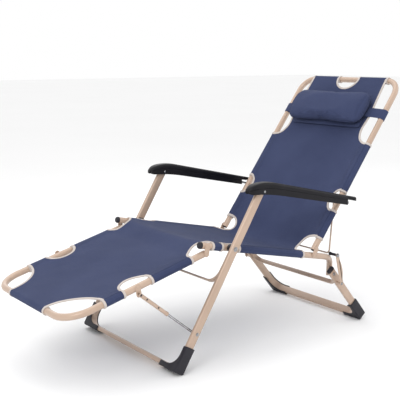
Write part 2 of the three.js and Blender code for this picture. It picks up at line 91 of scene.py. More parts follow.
def tangents_of(path):
    tangents = np.gradient(path, axis=0)
    return tangents / np.linalg.norm(tangents, axis=1)[:, None]


def middle_of(node):
    low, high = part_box(node)
    return vec(*(low + high)) / 2


TUBE_R = 0.011
TUBE_Y = -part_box("left_seat_tube")[0].y - TUBE_R
GAP = 0.0003
REST_PIVOT = pivot("leg_rest_fold")
LEG_PIVOT = pivot("front_leg_fold")
REAR_PIVOT = pivot("rear_leg_fold")
BACK_PIVOT = pivot("back_fold")
ARM_PIVOT = pivot("left_armrest_swing")
PLATE_PIVOT = pivot("left_latch_swing")
STAY_TOP = pivot("left_stay_swing")
ARM_PIN = pivot("bail_swing")
BAIL_END = across(middle_of("left_bail_sleeve"), 0)
STAY_FOOT = across(middle_of("left_stay_rivet"), 0)

SEAT_FACE = next(m for m in frame["record"]["mounts"] if m["name"] == "seat_face")
SEAT_NORMAL = vec(*SEAT_FACE["axis"])
SEAT_DIR = vec(SEAT_NORMAL[2], 0, -SEAT_NORMAL[0])
SEAT_FACE_RISE = 0.008  # the CAD seat's face over the middle of the tubes
SEAT_POINT = across(SEAT_FACE["pos_m"], 0) - SEAT_NORMAL * SEAT_FACE_RISE
BACK_DIR = vec(*JOINTS["pillow_slide"]["axis"])
BACK_NORMAL = normal_of(BACK_DIR)
REST_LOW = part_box("leg_rest_tube")[0]
REST_RAIL = vec(REST_LOW.x + TUBE_R, 0, REST_LOW.z + TUBE_R)
REST_DIR = turned_to(REST_RAIL, REST_PIVOT)
REST_NORMAL = normal_of(REST_DIR)
REST_LENGTH = np.linalg.norm(REST_PIVOT - REST_RAIL)
BACK_LENGTH = (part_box("back_tube")[1].z - TUBE_R - BACK_PIVOT[2]) / BACK_DIR[2]
SEAT_FRONT = SEAT_POINT + SEAT_DIR * ((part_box("left_seat_tube")[0].x - SEAT_POINT[0]) / SEAT_DIR[0] + 0.0025)


# ---- materials ----
class Nodes:
    """A material's node tree with short ways to add and link nodes."""

    def __init__(self, name):
        self.material = bpy.data.materials.new(name)
        self.material.use_nodes = True
        self.tree = self.material.node_tree
        self.shader = self.tree.nodes["Principled BSDF"]
        self.coords = self.tree.nodes.new("ShaderNodeTexCoord")

    def add(self, kind, **settings):
        node = self.tree.nodes.new("ShaderNode" + kind)
        for key, value in settings.items():
            setattr(node, key, value)
        return node

    def link(self, source, target):
        self.tree.links.new(source, target)

    def noise(self, scale, detail=3.0, rough=0.55):
        node = self.add("TexNoise")
        node.inputs["Scale"].default_value = scale
        node.inputs["Detail"].default_value = detail
        node.inputs["Roughness"].default_value = rough
        self.link(self.coords.outputs["Object"], node.inputs["Vector"])
        return node.outputs["Fac"]

    def ramp(self, value, stops):
        node = self.add("ValToRGB")
        elements = node.color_ramp.elements
        while len(elements) < len(stops):
            elements.new(0.5)
        for element, (place, colour) in zip(elements, stops):
            element.position = place
            element.color = (*colour, 1)
        self.link(value, node.inputs["Fac"])
        return node.outputs["Color"]

    def math(self, operation, a, b=None):
        node = self.add("Math", operation=operation)
        for socket, value in zip(node.inputs, (a, b)):
            if value is None:
                continue
            if isinstance(value, (int, float)):
                socket.default_value = value
            else:
                self.link(value, socket)
        return node.outputs[0]

    def mix(self, amount, a, b):
        """From the linked colour a to the fixed colour b."""
        node = self.add("Mix", data_type="RGBA")
        self.link(amount, node.inputs["Factor"])
        self.link(a, node.inputs["A"])
        node.inputs["B"].default_value = (*b, 1)
        return node.outputs["Result"]

    def bump(self, height, strength, distance, onto=None):
        node = self.add("Bump")
        node.inputs["Strength"].default_value = strength
        node.inputs["Distance"].default_value = distance
        self.link(height, node.inputs["Height"])
        if onto is not None:
            self.link(onto, node.inputs["Normal"])
        return node.outputs["Normal"]

    def finish(self, colour, roughness, normal=None, **fixed):
        self.link(colour, self.shader.inputs["Base Color"])
        self.link(roughness, self.shader.inputs["Roughness"])
        if normal is not None:
            self.link(normal, self.shader.inputs["Normal"])
        for key, value in fixed.items():
            self.shader.inputs[key.replace("_", " ")].default_value = value
        return self.material

    def wave(self, value, rate):
        return self.math("SINE", self.math("MULTIPLY", value, rate))

    def spread(self, value, low, high):
        node = self.add("MapRange")
        node.inputs["To Min"].default_value = low
        node.inputs["To Max"].default_value = high
        self.link(value, node.inputs["Value"])
        return node.outputs["Result"]


def woven_cloth(name, thread, source):
    """A dobby weave: small diamonds of floating threads over a plain ground."""
    n = Nodes(name)
    split = n.add("SeparateXYZ")
    n.link(n.coords.outputs[source], split.inputs[0])
    u, v = split.outputs[0], split.outputs[1]
    turn = 2 * math.pi / thread
    steep = n.math("MULTIPLY", u, 1.5)
    one_way = n.wave(n.math("ADD", steep, v), turn / 2)
    other_way = n.wave(n.math("SUBTRACT", steep, v), turn / 2)
    diamonds = n.math("MULTIPLY", one_way, other_way)
    ground = n.math("MULTIPLY", n.wave(u, turn * 3), n.wave(v, turn * 3))
    threads = n.math("MULTIPLY", ground, 0.3)
    height = n.math("ADD", diamonds, threads)
    fade = n.noise(7.0, 4.0)
    slub = n.noise(260.0, 2.0)
    worn = n.ramp(n.spread(fade, 0.0, 1.0), [(0.32, DEEP_NAVY), (0.68, PALE_NAVY)])
    # Painted light and shade of the weave: the colour is lighter on the raised floats and darker on the low ground
    # between them.
    shade = n.spread(height, 0.78, 1.16)
    colour_with_weave_shade = n.add("Mix", data_type="RGBA", blend_type="MULTIPLY")
    colour_with_weave_shade.inputs["Factor"].default_value = 1.0
    n.link(worn, colour_with_weave_shade.inputs["A"])
    n.link(shade, colour_with_weave_shade.inputs["B"])
    rough = n.spread(slub, 0.74, 0.9)
    normal = n.bump(slub, 0.25, 0.0006)
    normal = n.bump(height, 0.55, 0.0004, normal)
    sheen = {"Sheen_Weight": 0.04, "Sheen_Roughness": 0.45}
    return n.finish(colour_with_weave_shade.outputs["Result"], rough, normal, Specular_IOR_Level=0.13, **sheen)


def painted_steel():
    n = Nodes("beige_powder_coat")
    cloud = n.noise(9.0, 3.0)
    grain = n.noise(900.0, 2.0)
    colour = n.ramp(cloud, [(0.3, (0.44, 0.315, 0.236)), (0.7, (0.50, 0.366, 0.28))])
    wear = n.ramp(n.noise(60.0, 6.0, 0.7), [(0.70, (0, 0, 0)), (0.78, (1, 1, 1))])
    dusty = n.mix(n.math("MULTIPLY", wear, 0.25), colour, (0.36, 0.26, 0.20))
    rough = n.spread(n.noise(35.0), 0.28, 0.44)
    coat = {"Coat_Weight": 0.35, "Coat_Roughness": 0.22}
    return n.finish(dusty, rough, n.bump(grain, 0.18, 0.0004), Metallic=0.15, **coat)


def black_moulding(name, base, gloss, shine):
    n = Nodes(name)
    cloud = n.noise(20.0, 4.0)
    grain = n.noise(1400.0, 2.0)
    low = (base * 1.08, base, base * 1.45)
    high = (base * 1.8, base * 1.65, base * 2.3)
    colour = n.ramp(cloud, [(0.3, low), (0.75, high)])
    scuffs = n.ramp(n.noise(85.0, 7.0, 0.75), [(0.68, (0, 0, 0)), (0.8, (1, 1, 1))])
    colour = n.mix(n.math("MULTIPLY", scuffs, 0.18), colour, (0.075, 0.073, 0.085))
    rough = n.spread(n.noise(45.0), gloss, gloss + 0.2)
    return n.finish(colour, rough, n.bump(grain, 0.3, 0.0003), Specular_IOR_Level=shine)


def bright_steel():
    n = Nodes("bright_steel")
    streaks = n.noise(120.0, 5.0)
    colour = n.ramp(streaks, [(0.3, (0.22, 0.22, 0.23)), (0.7, (0.42, 0.42, 0.43))])
    rough = n.spread(n.noise(50.0, 4.0), 0.14, 0.34)
    return n.finish(colour, rough, n.bump(streaks, 0.08, 0.0003), Metallic=1.0)


def tape():
    """Off-white binding tape with ribs."""
    n = Nodes("binding_tape")
    split = n.add("SeparateXYZ")
    n.link(n.coords.outputs["Object"], split.inputs[0])
    along = n.math("ADD", split.outputs[0], split.outputs[1])
    ribs = n.wave(along, 2 * math.pi / 0.0016)
    cloud = n.noise(30.0, 4.0)
    colour = n.ramp(cloud, [(0.3, (0.49, 0.435, 0.40)), (0.7, (0.58, 0.52, 0.485))])
    rough = n.spread(cloud, 0.7, 0.85)
    normal = n.bump(ribs, 0.35, 0.0003)
    return n.finish(colour, rough, normal, Sheen_Weight=0.15, Specular_IOR_Level=0.3)


def thread_material():
    n = Nodes("sewing_thread")
    twist = n.noise(1500.0, 2.0)
    colour = n.ramp(twist, [(0.3, (0.03, 0.038, 0.075)), (0.7, (0.06, 0.075, 0.14))])
    return n.finish(colour, n.spread(twist, 0.6, 0.8), n.bump(twist, 0.3, 0.0002))


DEEP_NAVY = (0.043, 0.056, 0.124)
PALE_NAVY = (0.053, 0.068, 0.146)
CLOTH = woven_cloth("navy_sling_weave", 0.0021, "UV")
PILLOW_CLOTH = woven_cloth("navy_pillow_weave", 0.0019, "Object")
BEIGE = painted_steel()
BLACK = black_moulding("black_moulding", 0.012, 0.36, 0.33)
ARM_BLACK = black_moulding("armrest_moulding", 0.005, 0.3, 0.2)
STEEL = bright_steel()
TAPE = tape()
THREAD = thread_material()


# ---- meshes ----
SMOOTH_ANGLE = math.radians(38)
ANY_WAY = vec(0.31, 0.55, 0.77)  # not along any tube, so a turned piece can start from it


def make(name, verts, faces, material, sharp=SMOOTH_ANGLE):
    mesh = bpy.data.meshes.new(name)
    mesh.from_pydata([tuple(v) for v in verts], [], [tuple(f) for f in faces])
    mesh.materials.append(material)
    tidy = bmesh.new()
    tidy.from_mesh(mesh)
    bmesh.ops.recalc_face_normals(tidy, faces=tidy.faces)
    tidy.to_mesh(mesh)
    tidy.free()
    mesh.shade_smooth()
    mesh.set_sharp_from_angle(angle=sharp)
    piece = bpy.data.objects.new(name, mesh)
    bpy.context.scene.collection.objects.link(piece)
    return piece


def turned_profile(base, axis, profile, sides):
    """The profile's points at each turn round the axis."""
    axis = unit(np.asarray(axis, float))
    one = unit(np.cross(axis, ANY_WAY))
    two = np.cross(axis, one)
    rows = []
    for t in np.linspace(0, 2 * math.pi, sides, endpoint=False):
        out = one * math.cos(t) + two * math.sin(t)
        rows.append([base + axis * h + out * r for h, r in profile])
    return rows


def baked(piece):
    """A piece's mesh with its modifiers applied."""
    seen = piece.evaluated_get(bpy.context.evaluated_depsgraph_get())
    return bpy.data.meshes.new_from_object(seen)


class Shape:
    """Vertices and faces that several parts of one piece are gathered in."""

    def __init__(self):
        self.verts = []
        self.faces = []

    def grid(self, rings, sheet=False, loop=False):
        """Faces between rings of points, closed by caps or by joining the last ring to the first."""
        start, count = len(self.verts), len(rings[0])
        for ring in rings:
            self.verts.extend(ring)
        wrap = count - 1 if sheet else count
        for i in range(len(rings) if loop else len(rings) - 1):
            here = start + i * count
            there = start + (i + 1) % len(rings) * count
            for j in range(wrap):
                k = (j + 1) % count
                self.faces.append((here + j, here + k, there + k, there + j))
        if not (sheet or loop):
            last = start + (len(rings) - 1) * count
            self.faces.append(tuple(reversed(range(start, start + count))))
            self.faces.append(tuple(range(last, last + count)))
        return self

    def sweep(self, path, section, ref=None):
        """A section of (wide, out) points carried along a path; ref is its wide direction."""
        path = np.asarray(path, float)
        tangents = tangents_of(path)
        if ref is None:
            wides = [np.cross(tangents[0], ANY_WAY)]
            for t in tangents[1:]:
                wides.append(wides[-1] - t * (wides[-1] @ t))
        else:
            wides = np.broadcast_to(ref, path.shape)
        rings = []
        for p, t, wide in zip(path, tangents, wides):
            w = unit(wide - t * (wide @ t))
            out = np.cross(t, w)
            rings.append([p + w * a + out * b for a, b in section])
        return self.grid(rings)

    def slab(self, outline, place, x_dir, y_dir, depth, bevel=0.0006, steps=3):
        """An outline with rounded edges; it reaches half its depth to each side of place."""
        points = np.asarray(outline, float)
        turn = np.cross(points, np.roll(points, -1, axis=0)).sum()
        if turn < 0:
            points = points[::-1]
        before = points - np.roll(points, 1, axis=0)
        after = np.roll(points, -1, axis=0) - points
        before /= np.linalg.norm(before, axis=1)[:, None]
        after /= np.linalg.norm(after, axis=1)[:, None]
        bisector = np.stack([-(before + after)[:, 1], (before + after)[:, 0]], axis=1)
        bisector /= np.maximum(np.linalg.norm(bisector, axis=1), 1e-9)[:, None]
        normal = np.cross(x_dir, y_dir)
        rings = []
        for side in (-1, 1):
            for k in range(steps + 1):
                angle = math.pi / 2 * (k if side < 0 else steps - k) / steps
                inset = bevel * (1 - math.sin(angle))
                height = side * (depth / 2 - bevel * (1 - math.cos(angle)))
                flat = points + bisector * inset
                rings.append([place + x_dir * a + y_dir * b + normal * height for a, b in flat])
        return self.grid(rings)

    def lathe(self, base, axis, profile, sides=32):
        """A profile of (along the axis, radius) points turned round the axis, with flat ends."""
        turned = turned_profile(base, axis, profile, sides)
        return self.grid([list(level) for level in zip(*turned)])

    def ring(self, base, axis, profile):
        """A closed profile of (along the axis, radius) points turned round the axis."""
        return self.grid(turned_profile(base, axis, profile, 40), loop=True)

    def stud(self, place, side, y, profile, sides=32):
        """A lathe shape on a line across the chair, from y outwards."""
        return self.lathe(across(place, side * y), vec(0, side, 0), profile, sides)

    def piece(self, name, material, sharp=SMOOTH_ANGLE):
        return make(name, self.verts, self.faces, material, sharp)

    def stand(self, name, material, body, *nodes, sharp=SMOOTH_ANGLE):
        stands_for(self.piece(name, material, sharp), body, *nodes)


def circle(radius, sides=28):
    turns = np.linspace(0, 2 * math.pi, sides, endpoint=False)
    return [(radius * math.cos(t), radius * math.sin(t)) for t in turns]


def rounded_box(wide, thick, radius, steps=5):
    """A rectangle with round corners, as (wide, out) points."""
    points = []
    for quarter in range(4):
        cx = (wide / 2 - radius) * (1 if quarter in (0, 3) else -1)
        cy = (thick / 2 - radius) * (1 if quarter in (0, 1) else -1)
        for k in range(steps + 1):
            turn = math.pi / 2 * (quarter + k / steps)
            points.append((cx + radius * math.cos(turn), cy + radius * math.sin(turn)))
    return points


LONGEST_RUN = 0.03


def rounded_path(corners, radii, arc_steps=12):
    """A path through corner points with an arc of the given radius at each inner one."""
    corners = [np.asarray(c, float) for c in corners]
    points = [corners[0]]

    def go_to(target):
        start = points[-1]
        count = max(1, int(np.linalg.norm(target - start) / LONGEST_RUN))
        points.extend(start + (target - start) * k / count for k in range(1, count + 1))

    for before, corner, after, radius in zip(corners, corners[1:], corners[2:], radii):
        a = turned_to(corner, before)
        b = turned_to(corner, after)
        half = math.acos(max(-1, min(1, float(a @ b)))) / 2
        reach = radius / math.tan(half)
        middle = corner + unit(a + b) * radius / math.sin(half)
        go_to(corner + a * reach)
        from_middle = corner + a * reach - middle
        sweep = math.pi - 2 * half
        side = corner + b * reach - middle
        for k in range(1, arc_steps + 1):
            s = k / arc_steps
            blend = np.sin((1 - s) * sweep) * from_middle + np.sin(s * sweep) * side
            points.append(middle + blend / math.sin(sweep))
    go_to(corners[-1])
    return np.array(points)


def bezier(a, b, c, d, count):
    t = np.linspace(0, 1, count)[:, None]
    return a * (1 - t) ** 3 + 3 * b * t * (1 - t) ** 2 + 3 * c * t * t * (1 - t) + d * t**3


def dome(radius, height):
    """A rivet head's profile for lathe, from its foot to its crown."""
    foot = 0.35
    profile = [(-0.0004, radius), (foot * height, radius)]
    for k in range(1, 7):
        turn = math.pi / 2 * k / 6
        r = radius * max(math.cos(turn), 0.03)
        profile.append((height * (foot + (1 - foot) * math.sin(turn)), r))
    return profile


def disc(radius, length, edge=0.0006):
    """A short cylinder's profile with rounded rims."""
    return [
        (0, radius - edge),
        (edge * 0.3, radius - edge * 0.3),
        (edge, radius),
        (length - edge, radius),
        (length - edge * 0.3, radius - edge * 0.3),
        (length, radius - edge),
    ]


def washer(inner, outer, width, edge=0.0005):
    """A ring's closed profile, centred on its base."""
    w = width / 2
    half = [(w - edge, outer), (w, outer - edge), (w, inner)]
    return [*[(-a, r) for a, r in reversed(half)], *half]


def stands_for(piece, body, *nodes):
    """The piece rides on a body and takes the place of CAD nodes."""
    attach(piece, body)
    if nodes:
        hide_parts(*nodes)


# ---- tubes ----
SEAT_BEND_FROM = SEAT_FRONT + SEAT_DIR * 0.5525
SEAT_BEND = ((-0.017, 0.0677, 0.252), (0.017, 0.054, 0.211))  # (along, up) from the rear pivot, and y
SEAT_END, SEAT_END_Y = REAR_PIVOT - vec(0, 0, TUBE_R), 0.2255
BACK_CORNER_R, REST_CORNER_R = 0.062, 0.084
BACK_BELOW, REST_BEYOND = 0.0065, 0.001  # how far the tubes run past their hinges
ROUND = circle(TUBE_R)


def back_at(distance, y=0.0, off=0.0):
    return across(BACK_PIVOT + BACK_DIR * distance + BACK_NORMAL * off, y)


def rest_at(distance, y=0.0, off=0.0):
    return across(REST_RAIL + REST_DIR * distance + REST_NORMAL * off, y)


def seat_at(distance, y=0.0, off=0.0):
    return across(SEAT_FRONT + SEAT_DIR * distance + SEAT_NORMAL * off, y)


def seat_tube(name, side):
    controls = [across(REAR_PIVOT + vec(dx, 0, dz), side * y) for dx, dz, y in SEAT_BEND]
    start = across(SEAT_BEND_FROM, side * TUBE_Y)
    curve = bezier(start, *controls, across(SEAT_END, side * SEAT_END_Y), 32)
    straight = rounded_path([seat_at(0, side * TUBE_Y), start], [])
    tube = Shape().sweep(np.concatenate([straight[:-1], curve]), ROUND)
    tube.stand(name + "_seat_rail", BEIGE, "seat_frame", name + "_seat_tube")


def loop_tube(end, rail, radius, name, body, node):
    """A U-shaped tube with its bend at the rail."""
    corners = [across(end, -TUBE_Y), across(rail, -TUBE_Y), across(rail, TUBE_Y), across(end, TUBE_Y)]
    tube = Shape().sweep(rounded_path(corners, [radius, radius], 18), ROUND)
    tube.stand(name, BEIGE, body, node)


def end_cap(name, body, base, direction, radius, length):
    """A moulded plug with a collar that sits on the tube's end."""
    profile = [(-0.004, radius + 0.0008), (0, radius + 0.001), (0.4 * length, radius)]
    for k in range(1, 7):
        turn = math.pi / 2 * k / 6
        r = radius * (0.5 + 0.5 * math.cos(turn)) if k < 6 else radius * 0.45
        profile.append((length * (0.4 + 0.6 * math.sin(turn)), r))
    Shape().lathe(base, direction, profile).stand(name + "_cap", BLACK, body, name + "_plug")


def tubes():
    for name, side in SIDES:
        seat_tube(name, side)
    back_end, back_top = back_at(-BACK_BELOW), back_at(BACK_LENGTH)
    loop_tube(back_end, back_top, BACK_CORNER_R, "back_rail", "back_frame", "back_tube")
    rest_end = REST_LENGTH + REST_BEYOND
    loop_tube(rest_at(rest_end), REST_RAIL, REST_CORNER_R, "leg_rest_rail", "leg_rest", "leg_rest_tube")
    for name, side in SIDES:
        y = side * TUBE_Y
        end_cap(name + "_seat", "seat_frame", seat_at(-GAP, y), -SEAT_DIR, TUBE_R, 0.007)
        end_cap(name + "_back", "back_frame", back_at(-BACK_BELOW - GAP, y), -BACK_DIR, 0.009, 0.003)
        end_cap(name + "_leg_rest", "leg_rest", rest_at(rest_end + GAP, y), REST_DIR, 0.0098, 0.003)


# ---- leg frames ----
LEG_WIDE, LEG_THICK, LEG_EDGE_R = 0.030, 0.015, 0.0052
FLAT_TUBE = rounded_box(LEG_WIDE, LEG_THICK, LEG_EDGE_R)
SHOE_WALL = 0.003
SHOE_EDGE_R = 0.009
SHOE_RIVET_IN = 0.0265  # from the shoe's outer corner, both ways
CAP_LEVELS = [(-0.003, 0.0005), (0, 0.0006), (0.004, 0.0004), (0.0066, -0.0008), (0.008, -0.003)]


class Leg:
    """A U-shaped leg frame: its plane stands across the chair, through its pivot."""

    def __init__(self, name, place, degrees, y, down, up, corner, shoe_run, shoe_rise, brace):
        self.name, self.body, self.place, self.y = name, name + "_legs", place, y
        self.up_dir = in_plane(degrees)
        self.across_dir = vec(0, 1, 0)
        self.normal = np.cross(self.across_dir, self.up_dir)
        self.down, self.up, self.corner = down, up, corner
        self.shoe_run, self.shoe_rise, self.brace = shoe_run, shoe_rise, brace

    def point(self, y, rise):
        return self.place + self.across_dir * y + self.up_dir * rise

    def u_path(self, half, down, up, radius):
        places = ((-half, up), (-half, -down), (half, -down), (half, up))
        return rounded_path([self.point(*place) for place in places], [radius, radius], 16)

    def tube_path(self):
        half = LEG_THICK / 2
        return self.u_path(self.y, self.down - half, self.up, self.corner - half)

    def frame_tube(self):
        tube = Shape().sweep(self.tube_path(), FLAT_TUBE, ref=self.normal)
        tube.stand(self.name + "_leg_tube", BEIGE, self.body, self.name + "_leg_frame")

    def brace_strip(self):
        drop, rise, corner, wide, thick = self.brace
        half = self.y - LEG_THICK / 2 - GAP - thick / 2
        path = self.u_path(half, drop - thick / 2, rise - drop, corner - thick / 2)
        strip = Shape().sweep(path, rounded_box(wide, thick, 0.0026), ref=self.normal)
        for side in (-1, 1):
            inner = self.point(side * (half - thick / 2), rise - drop - 0.012)
            strip.lathe(inner, -side * self.across_dir, dome(0.0045, 0.0018), 20)
        strip.stand(self.name + "_brace_strip", BEIGE, self.body, self.name + "_brace")

    def shoe_outline(self, side):
        half = self.y + LEG_THICK / 2
        w, d = half + SHOE_WALL, self.down + SHOE_WALL
        wi, di, ri = half - LEG_THICK, self.down - LEG_THICK, self.corner - LEG_THICK
        top = -self.down + self.shoe_rise
        points = [(w, top)]
        for k in range(9):
            turn = -math.pi / 2 * k / 8
            cx, cy = w - SHOE_EDGE_R, -d + SHOE_EDGE_R
            points.append((cx + SHOE_EDGE_R * math.cos(turn), cy + SHOE_EDGE_R * math.sin(turn)))
        points.append((half - self.shoe_run, -d))
        points.append((half - self.shoe_run + 0.002, -di + 0.0005))
        for k in range(13):
            turn = -math.pi / 2 + math.pi / 2 * k / 12
            points.append((wi - ri + ri * math.cos(turn), -di + ri + ri * math.sin(turn)))
        points.append((wi + 0.0005, top - 0.002))
        return [(side * a, b) for a, b in points]

    def shoe(self, side, side_name):
        name = f"{side_name}_{self.name}"
        wide = LEG_WIDE + 2 * SHOE_WALL
        outline = self.shoe_outline(side)
        shoe = Shape().slab(outline, self.place, self.across_dir, self.up_dir, wide, 0.0026, 4)
        piece = shoe.piece(name + "_foot", BLACK)
        w, t = LEG_WIDE / 2 + GAP, LEG_THICK / 2
        past = -t - 0.008  # the room runs on past the tube, so the shoe is open inwards
        room = [(w, t + GAP), (-w, t + GAP), (-w, past), (w, past)]
        cutter = Shape().sweep(self.tube_path(), room, ref=self.normal).piece("shoe_room", BLACK)
        cut_away(piece, cutter)
        stands_for(piece, self.body, name + "_shoe")
        rivet = self.point(side * (self.y - SHOE_RIVET_IN), -self.down + SHOE_RIVET_IN)
        inwards = unit(self.up_dir - side * self.across_dir)
        head = Shape().lathe(rivet - inwards * 0.0066, inwards, dome(0.004, 0.0016), 20)
        head.stand(name + "_foot_rivet", STEEL, self.body)

    def top_cap(self, side, side_name):
        name = f"{side_name}_{self.name}_leg"
        top = self.point(side * self.y, self.up + GAP)
        rings = []
        for rise, grow in CAP_LEVELS:
            section = rounded_box(LEG_WIDE + 2 * grow, LEG_THICK + 2 * grow, LEG_EDGE_R + grow)
            level = top + self.up_dir * rise
            rings.append([level + self.normal * a + self.across_dir * b for a, b in section])
        Shape().grid(rings).stand(name + "_cap", BLACK, self.body, name + "_plug")


def cut_away(piece, cutter):
    """The cutter's room is taken out of the piece."""
    modifier = piece.modifiers.new("room", "BOOLEAN")
    modifier.operation, modifier.solver, modifier.object = "DIFFERENCE", "EXACT", cutter
    piece.data = baked(piece)
    piece.modifiers.clear()
    bpy.data.objects.remove(cutter)
    piece.data.shade_smooth()
    piece.data.set_sharp_from_angle(angle=SMOOTH_ANGLE)


# A brace is its drop and rise from the pivot, its bends' radius, its width and its thickness.
FRONT = Leg("front", LEG_PIVOT, degrees=58.5, y=0.2905, down=0.4372, up=0.2188, corner=0.060,
            shoe_run=0.094, shoe_rise=0.088, brace=(0.128, 0.062, 0.046, 0.018, 0.006))
REAR = Leg("rear", REAR_PIVOT, degrees=130, y=0.245, down=0.2547, up=0.019, corner=0.060,
           shoe_run=0.086, shoe_rise=0.088, brace=(0.066, 0.050, 0.040, 0.018, 0.006))


def leg_frames():
    for leg in (FRONT, REAR):
        leg.frame_tube()
        leg.brace_strip()
        for name, side in SIDES:
            leg.shoe(side, name)
    for name, side in SIDES:
        REAR.top_cap(side, name)


# ---- small fittings ----
def stadium(a, b, radius):
    """The outline round two equal circles, as (x, z) points."""
    line = math.atan2(b[2] - a[2], b[0] - a[0])
    points = []
    for centre, start in ((b, line - math.pi / 2), (a, line + math.pi / 2)):
        for k in range(13):
            turn = start + math.pi * k / 12
            points.append((centre[0] + radius * math.cos(turn), centre[2] + radius * math.sin(turn)))
    return points


def side_plate(outline, y, thick, side, bevel=0.0005, shape=None):
    """A plate that stands along the chair, from y outwards."""
    place = vec(0, side * (y + thick / 2), 0)
    return (shape or Shape()).slab(outline, place, vec(1, 0, 0), vec(0, 0, 1), thick, bevel, 2)


OUTER_Y = TUBE_Y + TUBE_R + 0.00035  # the plane beside the round tubes
PLATE, PLATE_R = 0.0024, 0.0095
LINKS = (
    ("back_plate", "seat_frame", BACK_PIVOT + vec(-0.011, 0, -0.020), BACK_PIVOT, PLATE, "back_bracket"),
    ("rest_plate", "seat_frame", REST_PIVOT, REST_PIVOT + vec(0.004, 0, 0.025), PLATE, "leg_rest_link"),
    ("hanger_plate", "leg_rest", STAY_TOP + vec(-0.004, 0, 0.024), STAY_TOP, 0.0009, "stay_hanger"),
)
FRONT_FACE = FRONT.y + LEG_THICK / 2 + GAP
REAR_FACE = REAR.y + LEG_THICK / 2 + GAP
BOLTS = (
    ("leg_bolt", "front_legs", LEG_PIVOT, FRONT_FACE, 0.0062, 0.0024, "leg_pivot_rivet"),
    ("stay_bolt", "front_legs", STAY_FOOT, FRONT_FACE, 0.0046, 0.0018, "stay_rivet"),
    ("rear_bolt", "rear_legs", REAR_PIVOT, REAR_FACE, 0.005, 0.002, "rear_pivot_rivet"),
)
BAIL_BUSH_Y = 0.2354
PIN_HEAD_Y = 0.298
STAY_Y = 0.2758
STAY_OUT, STAY_IN, STAY_LENGTH = 0.0062, 0.0043, 0.134
STAY_STUDS = ((0.007, 0.0042), (0.034, 0.0034), (0.088, 0.0034))  # place along the stay, and radius
WIRE_R, WIRE_OFF = 0.0016, 0.0024
LATCH_Y = 0.2732
LATCH_R = 0.008


def fittings():
    for name, side in SIDES:
        for kind, body, a, b, thick, node in LINKS:
            link = side_plate(stadium(a, b, PLATE_R), OUTER_Y, thick, side)
            for point in (a, b):
                link.stud(point, side, OUTER_Y + thick, dome(0.0055, 0.0017))
            link.stand(f"{name}_{kind}", BEIGE, body, f"{name}_{node}")
        bush = Shape().stud(LEG_PIVOT, side, OUTER_Y, disc(0.013, 0.0143, 0.001), 40)
        bush.stand(name + "_leg_bush", BLACK, "seat_frame", name + "_leg_spacer")
        for kind, body, place, face, radius, height, node in BOLTS:
            bolt = Shape().stud(place, side, face, dome(radius, height))
            bolt.stud(place, side, face - GAP, disc(radius * 1.35, 0.0007, 0.0002))
            bolt.stand(f"{name}_{kind}", STEEL, body, f"{name}_{node}")
        bush = Shape().stud(BAIL_END, side, BAIL_BUSH_Y, disc(0.005, 0.0374, 0.0008), 28)
        bush.stud(BAIL_END, side, BAIL_BUSH_Y, disc(0.0066, 0.006, 0.0008), 28)
        bush.stand(name + "_bail_bush", BLACK, "bail", name + "_bail_sleeve")
        pin = Shape().stud(ARM_PIN, side, OUTER_Y, disc(0.004, 0.0316, 0.0005), 24)
        pin.stud(ARM_PIN, side, PIN_HEAD_Y, disc(0.0055, 0.005, 0.0008), 24)
        pin.stand(name + "_arm_lock_pin", STEEL, "back_frame", name + "_armrest_pin")
        stay(name, side)
        latch_plate(name, side)
    bail_wire()


def stay(name, side):
    """A painted tube with a collar, and a rod of two bright wires that slides in it."""
    run = turned_to(STAY_TOP, STAY_FOOT)
    start = across(STAY_TOP, side * STAY_Y) - run * 0.007
    rim = [(0.0005, STAY_OUT), (0, STAY_OUT - 0.0005), (0, STAY_IN)]
    wall = [*reversed(rim), *[(STAY_LENGTH - a, r) for a, r in rim]]
    tube = Shape().ring(start, run, wall)
    tube.ring(start + run * (STAY_LENGTH - 0.004), run, washer(STAY_OUT - 0.0004, STAY_OUT + 0.0007, 0.009))
    tube.stand(name + "_stay_sleeve", BEIGE, name + "_stay_outer", name + "_stay_tube")
    out = vec(0, side, 0)
    studs = Shape()
    for place, radius in STAY_STUDS:
        studs.lathe(start + run * place + out * (STAY_OUT - 0.0016), out, dome(radius, 0.0022), 20)
    studs.stand(name + "_stay_studs", BLACK, name + "_stay_outer")
    near = start + run * (STAY_LENGTH - 0.026)
    far = across(STAY_FOOT, side * STAY_Y) + run * 0.004
    beside = normal_of(run) * WIRE_OFF
    corners = [near + beside, far + beside, far - beside, near - beside]
    wires = Shape().sweep(rounded_path(corners, [0.0023, 0.0023], 8), circle(WIRE_R, 16), ref=vec(0, 1, 0))
    wires.stand(name + "_stay_wires", STEEL, name + "_stay_inner", name + "_stay_rod")


def latch_plate(name, side):
    """A channel strip whose rear edge bulges, with its bolt and its rivet."""
    lift = turned_to(PLATE_PIVOT, BAIL_END)
    rear = -normal_of(lift)
    shape = side_plate(stadium(PLATE_PIVOT, BAIL_END, LATCH_R), LATCH_Y, PLATE, side, 0.0007)
    bulge = []
    for k in range(19):
        s = k / 18
        bulge.append((0.012 + 0.086 * s, 0.004 + 0.0105 * math.sin(math.pi * s) ** 0.7))
    bulge += [(0.098, 0.0035), (0.012, 0.0035)]
    points = [PLATE_PIVOT + lift * up + rear * out for up, out in bulge]
    side_plate([(p[0], p[2]) for p in points], LATCH_Y - 0.0043, PLATE + 0.0043, side, 0.001, shape)
    shape.stud(PLATE_PIVOT, side, 0.2531, disc(0.005, 0.021, 0.0005), 28)
    shape.stand(name + "_latch_channel", BEIGE, name + "_latch", name + "_latch_plate")
    face = LATCH_Y + PLATE
    heads = Shape().stud(PLATE_PIVOT, side, face, dome(0.0052, 0.0017))
    heads.stud(BAIL_END, side, face, disc(0.0078, 0.0009, 0.0003))
    heads.stud(BAIL_END, side, face + 0.0009, [(0, 0.0062), (0.0028, 0.0062), (0.0034, 0.0052)], 6)
    heads.stand(name + "_latch_bolts", STEEL, name + "_latch")


